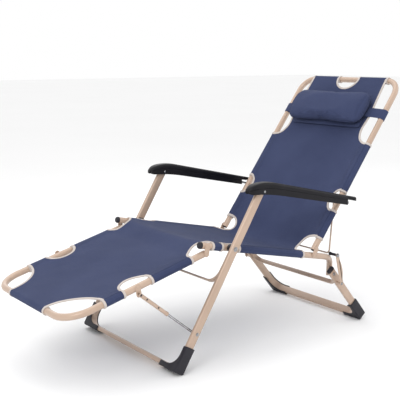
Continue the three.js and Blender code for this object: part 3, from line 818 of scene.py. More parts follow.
def bail_wire():
    """One wire from armrest pin to armrest pin, across the chair behind the seat."""
    y = 0.232
    end = TUBE_Y - TUBE_R - 0.0007
    ends = ((ARM_PIN, -end), (ARM_PIN, -y), (BAIL_END, -y), (BAIL_END, y), (ARM_PIN, y), (ARM_PIN, end))
    path = rounded_path([across(*place) for place in ends], [0.008, 0.014, 0.014, 0.008], 8)
    Shape().sweep(path, circle(0.003, 18)).stand("bail_wire", BEIGE, "bail", "back_bail")


# ---- armrests ----
ARM_LOW, ARM_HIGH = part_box("left_armrest")
ARM_OUT = -ARM_LOW.y
ARM_IN = -ARM_HIGH.y
ARM_FRONT = ARM_LOW.x
ARM_REAR = ARM_HIGH.x
ARM_WALL = 0.003
ARM_NOSE = 0.036  # the front end narrows over this length
ARM_STEP = 0.043  # the skirt ends before the top does


def quadratic(a, b, c):
    t = np.linspace(0, 1, 16)[:, None]
    return a * (1 - t) ** 2 + 2 * b * t * (1 - t) + c * t * t


# The side outline, as (x, z) from the armrest's pivot: the round tip, then straight to the rear.
ARM_TIP = vec(-0.0628, 0.0012)
ARM_CROWN = np.concatenate([
    quadratic(ARM_TIP, vec(-0.0603, 0.0204), vec(-0.0303, 0.0264)),
    quadratic(vec(-0.0303, 0.0264), vec(0.0137, 0.0344), vec(0.0697, 0.0204))[1:],
    [vec(0.4397, -0.0633)],
])
ARM_HEM = np.concatenate([
    quadratic(ARM_TIP, vec(-0.0583, -0.0076), vec(-0.0383, -0.0076)),
    quadratic(vec(-0.0383, -0.0076), vec(-0.0003, -0.0076), vec(0.0697, -0.0201))[1:],
    [vec(0.3957, -0.0876)],
])
# The inner wall is open for the lock pin under this line, as (x, z) from the pivot.
ARM_PIN_WAY = np.array([(0.385, -0.0662), (0.4597, -0.0746)])
ARM_TAB = 0.0145  # thickness of the tab behind the skirt


def arm_top(x):
    """Height of an armrest's crown."""
    return ARM_PIVOT[2] + np.interp(x - ARM_PIVOT[0], ARM_CROWN[:, 0], ARM_CROWN[:, 1])


def arm_bottom(x):
    if x > ARM_REAR - ARM_STEP:
        return arm_top(x) - ARM_TAB
    return ARM_PIVOT[2] + np.interp(x - ARM_PIVOT[0], ARM_HEM[:, 0], ARM_HEM[:, 1])


def arm_side(x, half, top, shoulder, inner):
    """One side of a section, as (out, height) points from its foot to the crown's middle."""
    foot = arm_bottom(x)
    from_pivot = x - ARM_PIVOT[0]
    if inner and from_pivot > ARM_PIN_WAY[0, 0]:
        foot = max(foot, ARM_PIVOT[2] + np.interp(from_pivot, ARM_PIN_WAY[:, 0], ARM_PIN_WAY[:, 1]))
    groove = foot + 0.52 * (top - foot)
    points = [(half, foot), (half, groove - 0.004), (half, groove - 0.0016)]
    points += [(half - 0.0013, groove), (half, groove + 0.0016)]
    for k in range(8):
        turn = math.pi / 2 * k / 7
        out, up = shoulder * math.cos(turn), shoulder * math.sin(turn)
        points.append((half - shoulder + out, top - shoulder + up))
    return points


def arm_section(x, side):
    """An upside-down U at one place along the armrest, with its grooves and rounded shoulders."""
    s = max(x - ARM_FRONT, 0.0)
    taper = min(1.0, math.sqrt(max(1 - (1 - min(s / ARM_NOSE, 1.0)) ** 2, 0.0)))
    half = (ARM_OUT - ARM_IN) / 2 * (0.26 + 0.74 * taper)
    middle = (ARM_OUT + ARM_IN) / 2
    top = arm_top(x)
    shoulder = min(0.0095, half * 0.8, (top - arm_bottom(x)) * 0.42)
    inner_side = [(-a, z) for a, z in arm_side(x, half, top, shoulder, True)]
    outer_side = arm_side(x, half, top, shoulder, False)
    skin = [*inner_side, *reversed(outer_side)]
    scale = (half - min(ARM_WALL, half * 0.6)) / half
    room = [(a * scale, min(z, top - ARM_WALL)) for a, z in reversed(skin)]
    room[0], room[-1] = (skin[-1][0] * scale, skin[-1][1]), (skin[0][0] * scale, skin[0][1])
    return [vec(x, side * (middle + a), z) for a, z in skin + room]


def armrests():
    nose = ARM_FRONT + ARM_NOSE * (1 - np.cos(np.linspace(0.08, math.pi / 2, 14)))
    way = ARM_PIVOT[0] + ARM_PIN_WAY[0, 0]
    body = np.linspace(ARM_FRONT + ARM_NOSE + 0.008, way, 34)
    skirt = np.linspace(way + 0.0006, ARM_REAR - ARM_STEP - 0.0004, 10)
    tail = np.linspace(ARM_REAR - ARM_STEP + 0.0004, ARM_REAR, 6)
    for name, side in SIDES:
        cover = Shape().grid([arm_section(x, side) for x in (*nose, *body, *skirt, *tail)])
        nodes = name + "_armrest", name + "_armrest_pivot"
        cover.stand(name + "_armrest_cover", ARM_BLACK, name + "_arm", *nodes, sharp=math.radians(32))
        rivets = Shape()
        for y, out in ((ARM_OUT, side), (ARM_IN, -side)):
            rivets.lathe(across(ARM_PIVOT, side * y), vec(0, out, 0), dome(0.0042, 0.0015), 24)
        rivets.stand(name + "_armrest_rivet", STEEL, name + "_arm")
        rack = frame["nodes"][name + "_armrest_rack"].data
        rack.materials.clear()
        rack.materials.append(STEEL)


# ---- the sling ----
CLOTH_RISE = TUBE_R + 0.0012  # the cloth's middle over the middle of the tubes
CLOTH_THICK = 0.0014
FOOT_HALF = 0.122
NECK_HALF = 0.197
NOTCH_R = 0.054
NOTCH_DEPTH = 0.88  # of its radius
SEAT_FROM = 0.046  # the seat's straight cloth, along its tubes
SEAT_TO = 0.440
REST_TO = 0.457  # the leg rest's straight cloth ends here
BACK_FROM = 0.055


def side_line():
    """The cloth's line in the side plane from the foot rail to the top rail, evenly stepped."""
    rest = [rest_at(s, 0, CLOTH_RISE) for s in np.linspace(0, REST_TO, 90)]
    seat = [seat_at(s, 0, CLOTH_RISE) for s in np.linspace(SEAT_FROM, SEAT_TO, 80)]
    back = [back_at(s, 0, CLOTH_RISE) for s in np.linspace(BACK_FROM, BACK_LENGTH, 130)]
    knee = bezier(rest[-1], rest[-1] + REST_DIR * 0.034, seat[0] - SEAT_DIR * 0.034, seat[0], 24)
    hip = bezier(seat[-1], seat[-1] + SEAT_DIR * 0.062, back[0] - BACK_DIR * 0.048, back[0], 34)
    points = np.array([*rest[:-1], *knee, *seat[1:-1], *hip, *back[1:]])
    steps = np.linalg.norm(np.diff(points, axis=0), axis=1)
    return points, np.concatenate([[0], np.cumsum(steps)])


LINE, LINE_AT = side_line()


def on_line(at, distance):
    """Where a distance along the tubes falls on the cloth's line."""
    point = at(distance, 0, CLOTH_RISE)
    return float(LINE_AT[np.argmin(np.linalg.norm(LINE - point, axis=1))])


REST_SLEEVES = ((0.126, 0.197), (0.302, 0.459))  # along the leg rest
SEAT_SLEEVES = ((0.048, 0.087), (0.160, 0.461))
BACK_SLEEVES = ((0.042, 0.156), (0.239, 0.445))
REST_CUT = (REST_SLEEVES[0][1], REST_SLEEVES[1][0])
KNEE_CUT = (REST_SLEEVES[1][1], on_line(seat_at, SEAT_SLEEVES[0][0]))
LEG_CUT = (on_line(seat_at, SEAT_SLEEVES[0][1]), on_line(seat_at, SEAT_SLEEVES[1][0]))
HIP_CUT = (on_line(seat_at, SEAT_SLEEVES[1][1]), on_line(back_at, BACK_SLEEVES[0][0]))
BACK_0 = on_line(back_at, BACK_FROM) - BACK_FROM
ARM_CUT = (BACK_0 + BACK_SLEEVES[0][1], BACK_0 + BACK_SLEEVES[1][0])
SHOULDER = BACK_0 + BACK_SLEEVES[1][1]
NECK_FROM = BACK_0 + 0.565
NOTCH_FROM = BACK_0 + BACK_LENGTH - 0.085
LINE_END = LINE_AT[-1]
SEAM_ON_SEAT = 0.26
SEAM = on_line(seat_at, SEAM_ON_SEAT)
D_POWER = (1.95, 1.95)  # how square a cut-out's two ends are; an ellipse has 2
HIP_POWER = (1.55, 2.5)
CUTS = [
    (REST_CUT, 0.199, D_POWER),
    (KNEE_CUT, 0.218, D_POWER),
    (LEG_CUT, 0.240, D_POWER),
    (HIP_CUT, 0.190, HIP_POWER),
    (ARM_CUT, 0.223, D_POWER),
]
CORNER_END = REST_SLEEVES[0][0]
CORNER_CUT = bezier(
    vec(0, FOOT_HALF), vec(0.066, FOOT_HALF - 0.003), vec(CORNER_END, 0.186), vec(CORNER_END, TUBE_Y), 30
)
SHOULDER_CUT = np.concatenate([
    bezier(vec(SHOULDER, TUBE_Y), vec(SHOULDER + 0.001, 0.222), vec(SHOULDER + 0.030, 0.198),
           vec(SHOULDER + 0.066, 0.2), 26),
    bezier(vec(SHOULDER + 0.066, 0.2), vec(SHOULDER + 0.086, 0.201), vec(SHOULDER + 0.1, 0.206),
           vec(NECK_FROM, 0.206), 10)[1:],
    [vec(LINE_END, NECK_HALF)],
])


def half_width(g):
    """Half the cloth's width at a distance along its line."""
    if g <= CORNER_CUT[-1, 0]:
        return float(np.interp(g, CORNER_CUT[:, 0], CORNER_CUT[:, 1]))
    if g >= SHOULDER:
        return float(np.interp(g, SHOULDER_CUT[:, 0], SHOULDER_CUT[:, 1]))
    for (start, end), inner, powers in CUTS:
        if start < g < end:
            share = (g - start) / (end - start)
            power = np.interp(share, (0, 1), powers)
            return TUBE_Y - (TUBE_Y - inner) * (1 - abs(2 * share - 1) ** power) ** (1 / power)
    return TUBE_Y


def stations():
    """Distances along the cloth: even ones, and close ones where a cut-out begins and ends."""
    places = set(np.round(np.arange(0, NOTCH_FROM, 0.009), 5))
    for (start, end), _, _ in CUTS:
        places |= set(start + (end - start) * (1 - np.cos(np.linspace(0, math.pi, 37))) / 2)
    places |= set(CORNER_CUT[:, 0]) | set(SHOULDER_CUT[:-1, 0]) | {SEAM, NOTCH_FROM}
    ordered = sorted(places)
    kept = [ordered[0]]
    for place in ordered[1:]:
        if place - kept[-1] > 0.00025 or place in (SEAM, NOTCH_FROM):
            kept.append(place)
    return kept


def smooth(x):
    x = min(max(x, 0.0), 1.0)
    return x * x * (3 - 2 * x)


def line_frame(g):
    """The line's point, direction and normal at a distance along it."""
    point = vec(*[np.interp(g, LINE_AT, LINE[:, k]) for k in range(3)])
    ahead = vec(*[np.interp(min(g + 0.004, LINE_END), LINE_AT, LINE[:, k]) for k in range(3)])
    behind = vec(*[np.interp(max(g - 0.004, 0), LINE_AT, LINE[:, k]) for k in range(3)])
    direction = turned_to(behind, ahead)
    return point, direction, normal_of(direction)


HEM_STEP, HEM_WIDE = 0.0011, 0.027  # the doubled cloth beside each sleeve


def sag(g, y):
    """How far the cloth hangs under the straight line between the tubes, with its soft folds."""
    seat_middle = seat_share(g)
    deep = 0.006 + 0.011 * seat_middle + 0.004 * smooth((g - HIP_CUT[1]) / 0.2)
    ends = smooth(g / 0.16) * smooth((LINE_END - g) / 0.2)
    a = abs(y) / TUBE_Y
    hang = deep * ends * (1 - a * a)
    calm = ends * (1 - a**4)
    folds = noise.noise(Vector((g * 5.5, y * 4.0, 0.7))) * 0.0032
    folds += noise.noise(Vector((g * 13 + y * 6, y * 9 - g * 3, 4.2))) * 0.0013
    hem = HEM_STEP * smooth((abs(y) - TUBE_Y + HEM_WIDE) / 0.003)
    return hang - folds * calm + pulls(g, y) - hem


def seat_share(g):
    return smooth((g - KNEE_CUT[0]) / 0.2) * (1 - smooth((g - HIP_CUT[0]) / 0.2))


PULL_REACH = 0.11


def pulls(g, y):
    """Small folds that fan out from where each sleeve ends."""
    total = 0.0
    for (start, end), _, _ in CUTS:
        for place, sign in ((start, -1), (end, 1)):
            dx = (g - place) * sign
            dy = TUBE_Y - abs(y)
            reach = math.hypot(dx, dy)
            if reach > PULL_REACH or reach < 1e-6:
                continue
            turn = math.atan2(dy, dx + 1e-9)
            fade = (1 - reach / PULL_REACH) ** 2 * smooth(dy / 0.03)
            total += 0.0016 * fade * math.cos(turn * 9.0)
    return total


def cloth_point(g, y):
    point, _, normal = line_frame(g)
    return across(point - normal * sag(g, y), y)


def columns():
    """Shares of the half width, close together at the notch's ends and at the edge."""
    inner = NOTCH_R / NECK_HALF
    middle = inner * np.sin(np.linspace(-math.pi / 2, math.pi / 2, 23))
    outer = inner + (1 - inner) * np.sin(np.linspace(0, math.pi / 2, 17))[1:]
    return np.concatenate([-outer[::-1], middle, outer])


SHARES = columns()


def notch_end(y):
    """Where the cloth ends at the head: at the rail, or round the notch in its middle."""
    end = LINE_END
    if abs(y) < NOTCH_R:
        end -= NOTCH_DEPTH * math.sqrt(NOTCH_R**2 - y * y)
    return end


def cloth_rows(start, end):
    places = [g for g in stations() if start <= g <= end]
    return [[(g, share * half_width(g)) for share in SHARES] for g in places]


def neck_place(share, r):
    """A point a share r of the way from the last full row to the cloth's end at the head."""
    g = NOTCH_FROM + r * (notch_end(share * NECK_HALF) - NOTCH_FROM)
    return g, share * half_width(NOTCH_FROM + r * (LINE_END - NOTCH_FROM))


def notch_rows():
    rows = []
    for k in range(1, 15):
        r = math.sin(math.pi / 2 * k / 14)
        rows.append([neck_place(share, r) for share in SHARES])
    return rows


SLEEVE_IN, SLEEVE_OUT = TUBE_R + 0.0002, CLOTH_RISE + CLOTH_THICK / 2


def sleeve(shape, start, end, at, y):
    """A cloth tube round a frame tube from one distance to another."""
    direction = turned_to(at(start, y), at(end, y))
    length = end - start
    wall = [(0, SLEEVE_IN)]
    count = max(2, int(length / 0.02))
    for k in range(count + 1):
        wall.append((length * k / count, SLEEVE_OUT - 0.0002 * (0.5 + 0.5 * math.cos(k * 2.1))))
    wall.append((length, SLEEVE_IN))
    shape.ring(at(start, y), direction, wall)


def collar(shape, base, direction):
    """The bound end of a sleeve, round the tube."""
    shape.ring(base, direction, washer(TUBE_R + 0.0004, CLOTH_RISE + 0.0022, 0.008, 0.0011))


STITCH_STEP, STITCH_LONG = 0.0062, 0.0036


def stitches(shape, g0, g1, y):
    """A row of stitches along the cloth, just over its face."""
    for g in np.arange(g0 + STITCH_STEP, g1 - STITCH_STEP / 2, STITCH_STEP):
        a, b = cloth_point(g, y), cloth_point(g + STITCH_LONG, y)
        lift = line_frame(g)[2] * (CLOTH_THICK / 2 + 0.0001)
        middle = (a + b) / 2 + lift * 1.5
        shape.sweep([a + lift * 0.6, middle, b + lift * 0.6], circle(0.00042, 5), ref=vec(0, 1, 0))


TAPE_SECTION = rounded_box(0.0088, 0.0042, 0.0019, 3)
TAPE_INSET = 0.0022  # from the cloth's edge to the tape's middle
TAPE_STEP = 0.0035


def edge_tape(shape, places, sign):
    """Binding folded over the cloth's edge along (distance, half width) places."""
    points = [cloth_point(g, sign * w) for g, w in places]
    keep = [0]
    for k in range(1, len(points)):
        if np.linalg.norm(points[k] - points[keep[-1]]) > TAPE_STEP or k == len(points) - 1:
            keep.append(k)
    path = np.array([points[k] for k in keep])
    tangents = tangents_of(path)
    normals = np.array([line_frame(places[k][0])[2] for k in keep])
    inwards = np.cross(normals, tangents)
    toward = np.array([0.0, -sign, 0.0]) if abs(tangents[len(keep) // 2][1]) < 0.8 else None
    if toward is not None and (inwards[len(keep) // 2] @ toward) < 0:
        inwards = -inwards
    shape.sweep(path + inwards * TAPE_INSET, TAPE_SECTION, ref=inwards)


def places_of(cut):
    start, end = cut
    u = (1 - np.cos(np.linspace(0, math.pi, 61))) / 2
    return [(start + (end - start) * k, half_width(start + (end - start) * k)) for k in u]


def rail_sleeve(shape, point, from_y, to_y):
    """A cloth tube round the foot rail or the head rail."""
    length = to_y - from_y
    outside = [(a, SLEEVE_OUT) for a in (0, length / 2, length)]
    wall = [(0, SLEEVE_IN), *outside, (length, SLEEVE_IN)]
    shape.ring(across(point, from_y), vec(0, 1, 0), wall)


def cloth_piece(name, rows, sleeves, rails):
    """The sheet between the tubes, given its thickness, with its sleeves."""
    shape = Shape()
    rings = [[cloth_point(g, y) for g, y in row] for row in rows]
    shape.grid(rings, sheet=True)
    piece = shape.piece(name, CLOTH, math.radians(60))
    solid = piece.modifiers.new("thickness", "SOLIDIFY")
    solid.thickness, solid.offset = CLOTH_THICK, 0
    sheet = baked(piece)
    bpy.data.objects.remove(piece)
    whole = Shape()
    whole.verts = [vec(*v.co) for v in sheet.vertices]
    whole.faces = [tuple(p.vertices) for p in sheet.polygons]
    for start, end, at in sleeves:
        for _, side in SIDES:
            sleeve(whole, start, end, at, side * TUBE_Y)
    for point, from_y, to_y in rails:
        rail_sleeve(whole, point, from_y, to_y)
    made = make(name, whole.verts, whole.faces, CLOTH, math.radians(60))
    add_cloth_coordinates(made)
    return made


def add_cloth_coordinates(piece):
    """UVs in metres: along the chair's length, and across it."""
    layer = piece.data.uv_layers.new(name="cloth")
    places = {}
    for index, vertex in enumerate(piece.data.vertices):
        apart = np.abs(LINE[:, 0] - vertex.co.x) + np.abs(LINE[:, 2] - vertex.co.z)
        distance = float(LINE_AT[np.argmin(apart)])
        point, direction, _ = line_frame(distance)
        extra = (vec(*vertex.co) - point) @ direction
        places[index] = (distance + extra, vertex.co.y)
    for loop in piece.data.loops:
        layer.data[loop.index].uv = places[loop.vertex_index]


def bindings(top_rail):
    """The tape on the cloth's edges and on the ends of its sleeves."""
    front, rear = Shape(), Shape()
    neck_ends = [(g, half_width(g)) for g in np.linspace(NECK_FROM, LINE_END, 24)[1:]]
    for _, side in SIDES:
        y = side * TUBE_Y
        edge_tape(front, CORNER_CUT, side)
        for cut, _, _ in CUTS:
            edge_tape(front if cut[1] < SEAM else rear, places_of(cut), side)
        edge_tape(rear, [*SHOULDER_CUT[:-1], *neck_ends], side)
        for s in (*REST_SLEEVES[0], *REST_SLEEVES[1]):
            collar(front, rest_at(s, y), REST_DIR)
        for s in (*SEAT_SLEEVES[0], SEAT_SLEEVES[1][0]):
            collar(front, seat_at(s, y), SEAT_DIR)
        collar(rear, seat_at(SEAT_SLEEVES[1][1], y), SEAT_DIR)
        for s in (*BACK_SLEEVES[0], *BACK_SLEEVES[1]):
            collar(rear, back_at(s, y), BACK_DIR)
        collar(front, across(REST_RAIL, side * FOOT_HALF), vec(0, 1, 0))
        for rail_y in (NOTCH_R, NECK_HALF):
            collar(rear, across(top_rail, side * rail_y), vec(0, 1, 0))
    notch_ys = [NOTCH_R * math.sin(t) for t in np.linspace(-math.pi / 2, math.pi / 2, 41)]
    notch_tape(rear, [(notch_end(y), y) for y in notch_ys])
    return front.piece("leg_and_seat_binding", TAPE), rear.piece("seat_and_back_binding", TAPE)


def sling():
    front_sleeves = [(start, end, rest_at) for start, end in REST_SLEEVES]
    front_sleeves += [(*SEAT_SLEEVES[0], seat_at), (SEAT_SLEEVES[1][0], SEAM_ON_SEAT, seat_at)]
    rear_sleeves = [(SEAM_ON_SEAT, SEAT_SLEEVES[1][1], seat_at)]
    rear_sleeves += [(start, end, back_at) for start, end in BACK_SLEEVES]
    top_rail = back_at(BACK_LENGTH)
    foot = [(REST_RAIL, -FOOT_HALF, FOOT_HALF)]
    head = [(top_rail, NOTCH_R, NECK_HALF), (top_rail, -NECK_HALF, -NOTCH_R)]
    rear_rows = cloth_rows(SEAM, NOTCH_FROM) + notch_rows()
    front = cloth_piece("leg_and_seat_cloth", cloth_rows(0, SEAM), front_sleeves, foot)
    rear = cloth_piece("seat_and_back_cloth", rear_rows, rear_sleeves, head)
    tapes = bindings(top_rail)
    threads = hem_stitches()
    knee = KNEE_CUT[0] + 0.004, KNEE_CUT[1] - 0.004
    hip = HIP_CUT[0] + 0.004, HIP_CUT[1] - 0.002
    for pieces, bodies, span in (((front, tapes[0], threads[0]), ("leg_rest", "seat_frame"), knee),
                                 ((rear, tapes[1], threads[1]), ("seat_frame", "back_frame"), hip)):
        for piece in pieces:
            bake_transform(piece)
    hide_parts("leg_rest_sling", "seat_sling")
    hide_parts("back_sling")


def notch_tape(shape, places):
    """Binding round the notch at the head, through (distance, y) places."""
    path = np.array([cloth_point(g, y) for g, y in places])
    outwards = np.cross(BACK_NORMAL, tangents_of(path))
    if outwards[len(path) // 2] @ BACK_DIR > 0:
        outwards = -outwards
    shape.sweep(path + outwards * TAPE_INSET, TAPE_SECTION, ref=outwards)


HEM_ROWS = (0.019, 0.0225)  # from the tubes' middles
HEM_GAP = 0.008  # from a row's end to a cut-out
FRONT_HEMS = (
    (CORNER_END + HEM_GAP, REST_CUT[0] - HEM_GAP),
    (REST_CUT[1] + HEM_GAP, KNEE_CUT[0] - HEM_GAP),
    (LEG_CUT[1] + 0.006, SEAM),
)
REAR_HEMS = (
    (SEAM, HIP_CUT[0] - HEM_GAP),
    (HIP_CUT[1] + HEM_GAP, ARM_CUT[0] - HEM_GAP),
    (ARM_CUT[1] + HEM_GAP, SHOULDER - HEM_GAP),
)


def hem_stitches():
    """Two rows of stitches beside each sleeve."""
    made = []
    for name, hems in (("leg_and_seat_stitches", FRONT_HEMS), ("seat_and_back_stitches", REAR_HEMS)):
        shape = Shape()
        for _, side in SIDES:
            for inset in HEM_ROWS:
                for start, end in hems:
                    stitches(shape, start, end, side * (TUBE_Y - inset))
        made.append(shape.piece(name, THREAD))
    return made


# ---- head pillow ----
PILLOW_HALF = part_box("head_pillow")[1].y
PILLOW_MIDDLE = middle_of("head_pillow")
PILLOW_LENGTH, PILLOW_THICK = 0.150, 0.058
STRAP_AT, STRAP_WIDTH = 0.577, 0.040
FLANGE_LENGTH, FLANGE_HALF = 0.120, 0.184
FLANGE_DROP = 0.012  # its middle is lower than the pillow's


def from_pillow_frame(a):
    """A place from distances along the back, across it and off it, from the pillow's middle."""
    return PILLOW_MIDDLE + BACK_DIR * a[0] + vec(0, a[1], 0) + BACK_NORMAL * a[2]


def pillow_start():
    """A slimmer cushion shape, which the cloth then swells from."""
    bpy.ops.mesh.primitive_cube_add(size=2)
    piece = bpy.context.object
    piece.name = "head_pillow_cover"
    tidy = bmesh.new()
    tidy.from_mesh(piece.data)
    bmesh.ops.subdivide_edges(tidy, edges=tidy.edges, cuts=23, use_grid_fill=True)
    for v in tidy.verts:
        x, y, z = v.co
        across_round = x * math.sqrt(1 - z * z / 2)
        off_round = z * math.sqrt(1 - x * x / 2)
        end = 1 - 0.16 * smooth((abs(y) - 0.86) / 0.14) ** 2
        plump = 1 + 0.05 * math.cos(math.pi * y / 2)
        bulge = 1 - 0.05 * (across_round**2 + off_round**2)
        v.co = Vector((
            across_round * PILLOW_LENGTH / 2 * 0.93 * end * plump,
            y * (PILLOW_HALF - 0.004) * bulge,
            off_round * PILLOW_THICK / 2 * 0.84 * end * plump,
        ))
    tidy.to_mesh(piece.data)
    tidy.free()
    return piece


def relaxed(points, edges):
    """The points, each moved towards the middle of its neighbours, six times."""
    for _ in range(6):
        total = np.zeros_like(points)
        count = np.zeros(len(points))
        for a, b in ((0, 1), (1, 0)):
            np.add.at(total, edges[:, a], points[edges[:, b]])
            np.add.at(count, edges[:, a], 1)
        points = 0.5 * points + 0.5 * total / count[:, None]
    return points


SWELLING = {
    "use_pressure": True, "uniform_pressure_force": 4.0, "quality": 6, "mass": 0.25,
    "tension_stiffness": 20, "compression_stiffness": 20, "bending_stiffness": 8, "air_damping": 4,
}
LONGEST_TRAVEL = 0.012


def swell(piece):
    """Cloth simulation with pressure, each point's travel capped."""
    remesh = piece.modifiers.new("even", "REMESH")
    remesh.mode, remesh.voxel_size = "VOXEL", 0.0055
    piece.data = baked(piece)
    piece.modifiers.clear()
    before = np.array([v.co for v in piece.data.vertices])
    cloth = piece.modifiers.new("cloth", "CLOTH")
    cloth.settings.effector_weights.gravity = 0
    for setting, value in SWELLING.items():
        setattr(cloth.settings, setting, value)
    for step in range(1, 21):
        bpy.context.scene.frame_set(step)
    seen = piece.evaluated_get(bpy.context.evaluated_depsgraph_get())
    after = np.array([v.co for v in seen.data.vertices])
    piece.modifiers.clear()
    bpy.context.scene.frame_set(1)
    travel = after - before
    length = np.linalg.norm(travel, axis=1)
    travel *= np.minimum(1, LONGEST_TRAVEL / np.maximum(length, 1e-9))[:, None]
    edges = np.array([e.vertices for e in piece.data.edges])
    before = relaxed(before + travel, edges)
    return before


def flange():
    """The flat sewn edge that shows below the pillow."""
    outline = rounded_box(FLANGE_LENGTH, 2 * FLANGE_HALF, 0.010)
    place = from_pillow_frame(vec(-FLANGE_DROP, 0, 0.0026 - PILLOW_THICK / 2))
    edge = Shape().slab(outline, place, BACK_DIR, vec(0, 1, 0), 0.0018)
    edge.stand("head_pillow_flange", PILLOW_CLOTH, "pillow")


def pillow():
    piece = pillow_start()
    local = swell(piece)
    low, high = -PILLOW_THICK / 2 + 0.0028, PILLOW_THICK / 2 + 0.002
    seam_y = PILLOW_HALF - SEAM_IN
    for p in local:
        p[2] += 0.0008 * noise.noise(Vector((p[0] * 30, p[1] * 18, p[2] * 30)))
        seam = math.exp(-((p[2] / 0.0035) ** 2))
        edge = max(abs(p[0]) / 0.070, abs(p[1]) / (PILLOW_HALF - 0.006))
        if edge > 0.86:
            p[0] *= 1 - 0.022 * seam
            p[1] *= 1 - 0.008 * seam
        for end in (-1, 1):
            tuck = math.exp(-(((p[1] - end * seam_y) / 0.0035) ** 2))
            p[0] *= 1 - 0.030 * tuck
            p[2] *= 1 - 0.060 * tuck
        p[2] = min(max(p[2], low), high)
    for vertex, p in zip(piece.data.vertices, local):
        vertex.co = from_pillow_frame(p)
    piece.data.materials.clear()
    piece.data.materials.append(PILLOW_CLOTH)
    smoother = piece.modifiers.new("fine", "SUBSURF")
    smoother.levels = smoother.render_levels = 1
    piece.data = baked(piece)
    piece.modifiers.clear()
    piece.data.shade_smooth()
    stands_for(piece, "pillow", "head_pillow")
    piping(piece)
    flange()
    for name, side in SIDES:
        strap(name, side)


def cut_loop(piece, place, normal):
    """The closed line where a plane crosses a piece, as ordered points."""
    cut = bmesh.new()
    cut.from_mesh(piece.data)
    parts = [*cut.verts, *cut.edges, *cut.faces]
    made = bmesh.ops.bisect_plane(cut, geom=parts, plane_co=place, plane_no=normal)
    edges = {g for g in made["geom_cut"] if isinstance(g, bmesh.types.BMEdge)}
    edge = min(edges, key=lambda e: e.index)
    start, here = edge.verts
    points = [start.co.copy()]
    edges.discard(edge)
    while here != start:
        points.append(here.co.copy())
        following = [e for e in here.link_edges if e in edges]
        if not following:
            break
        edges.discard(following[0])
        here = following[0].other_vert(here)
    cut.free()
    return np.array([vec(*p) for p in points])


def closed_cord(points, radius, middle):
    """A cord along a closed loop round middle: evenly spaced, smoothed, and a little proud."""
    ring = np.vstack([points, points[:1]])
    places = np.concatenate([[0], np.cumsum(np.linalg.norm(np.diff(ring, axis=0), axis=1))])
    even = np.linspace(0, places[-1], int(places[-1] / 0.006), endpoint=False)
    path = np.stack([np.interp(even, places, ring[:, k]) for k in range(3)], axis=1)
    for _ in range(3):
        path = (np.roll(path, 1, axis=0) + 2 * path + np.roll(path, -1, axis=0)) / 4
    tangents = np.roll(path, -1, axis=0) - np.roll(path, 1, axis=0)
    tangents /= np.linalg.norm(tangents, axis=1)[:, None]
    out = path - middle
    out -= (out * tangents).sum(1)[:, None] * tangents
    out /= np.linalg.norm(out, axis=1)[:, None]
    path = path + out * radius * 0.4
    rings = []
    for p, t, o in zip(path, tangents, out):
        side = np.cross(t, o)
        rings.append([p + o * a + side * b for a, b in circle(radius, 10)])
    return rings


SEAM_IN = 0.022  # the end seams, from the pillow's ends


def piping(piece):
    """Cords on the two end seams and on the seam round the pillow."""
    shape = Shape()
    ends = [from_pillow_frame(vec(0, end * (PILLOW_HALF - SEAM_IN), 0)) for end in (-1, 1)]
    for place in ends:
        shape.grid(closed_cord(cut_loop(piece, place, (0, 1, 0)), 0.0014, place), loop=True)
    middle = from_pillow_frame(vec(0, 0, 0))
    shape.grid(closed_cord(cut_loop(piece, middle, tuple(BACK_NORMAL)), 0.0013, middle), loop=True)
    shape.stand("head_pillow_piping", PILLOW_CLOTH, "pillow")


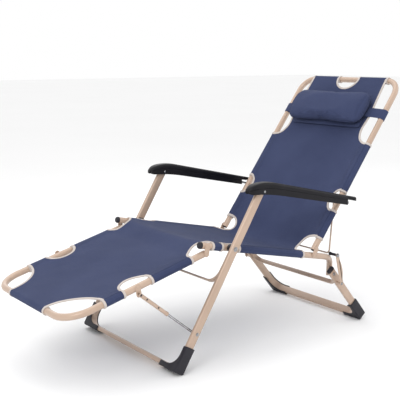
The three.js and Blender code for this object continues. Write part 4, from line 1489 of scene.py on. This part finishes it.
def strap(name, side):
    """A band round the back tube, sewn to the pillow's underside."""
    start = back_at(STRAP_AT - STRAP_WIDTH / 2, side * TUBE_Y)
    inner, outer = TUBE_R + 0.0003, TUBE_R + 0.0019
    w = STRAP_WIDTH
    rim = [(0, inner), (0, outer - 0.0004), (0.001, outer)]
    wall = [*rim, (w / 2, outer), *[(w - a, r) for a, r in reversed(rim)]]
    shape = Shape().ring(start, BACK_DIR, wall)
    over_cloth = CLOTH_RISE + 0.0040  # clear of the binding
    sewn = PILLOW_HALF - 0.030
    ys = (sewn, 0.211, TUBE_Y)
    heights = (over_cloth + 0.0012, over_cloth, (inner + outer) / 2)
    path = []
    for k in range(13):
        y = sewn + (TUBE_Y - sewn) * k / 12
        off = np.interp(y, ys, heights)
        path.append(across(start, side * y) + BACK_DIR * w / 2 + BACK_NORMAL * off)
    shape.sweep(path, rounded_box(w, outer - inner, 0.0006, 2), ref=BACK_DIR)
    shape.stand(name + "_pillow_band", PILLOW_CLOTH, "pillow", name + "_pillow_strap")


# ---- stage ----
def stage():
    scene = bpy.context.scene
    bpy.ops.mesh.primitive_plane_add(size=60)
    floor = bpy.context.object
    floor.name = "floor"
    n = Nodes("pale_floor")
    colour = n.ramp(n.noise(0.6), [(0.3, (0.925, 0.925, 0.925)), (0.7, (0.94, 0.94, 0.94))])
    floor.data.materials.append(n.finish(colour, n.spread(n.noise(3.0), 0.85, 0.95)))
    world = bpy.data.worlds.new("studio")
    scene.world = world
    world.use_nodes = True
    sky = world.node_tree.nodes["Background"].inputs
    sky["Color"].default_value = (1, 1, 1, 1)
    sky["Strength"].default_value = 1.0
    for name, place, size, power in (
        ("key", (-2.6, -1.9, 2.6), 1.6, 40),
        ("fill", (2.6, -1.8, 2.0), 2.4, 12),
        ("top", (0.1, 0.6, 3.4), 3.0, 24),
        ("back", (0.8, 3.0, 1.8), 2.4, 10),
    ):
        light = bpy.data.lights.new(name, "AREA")
        light.shape, light.size, light.energy = "DISK", size, power
        lamp = bpy.data.objects.new(name, light)
        lamp.location = place
        lamp.rotation_euler = (Vector((0, 0, 0.4)) - Vector(place)).to_track_quat("-Z", "Y").to_euler()
        scene.collection.objects.link(lamp)
    camera = bpy.data.objects.new("camera", bpy.data.cameras.new("camera"))
    camera.data.sensor_width, camera.data.lens = 36, 72.87
    camera.location = (-1.7470, -2.2962, 1.0062)
    camera.rotation_euler = (math.radians(79.906), 0, math.radians(-36.5755))
    camera.data.clip_end = 200
    scene.collection.objects.link(camera)
    scene.camera = camera
    scene.view_settings.view_transform = "Standard"


stage()
tubes()
leg_frames()
fittings()
armrests()
sling()
pillow()
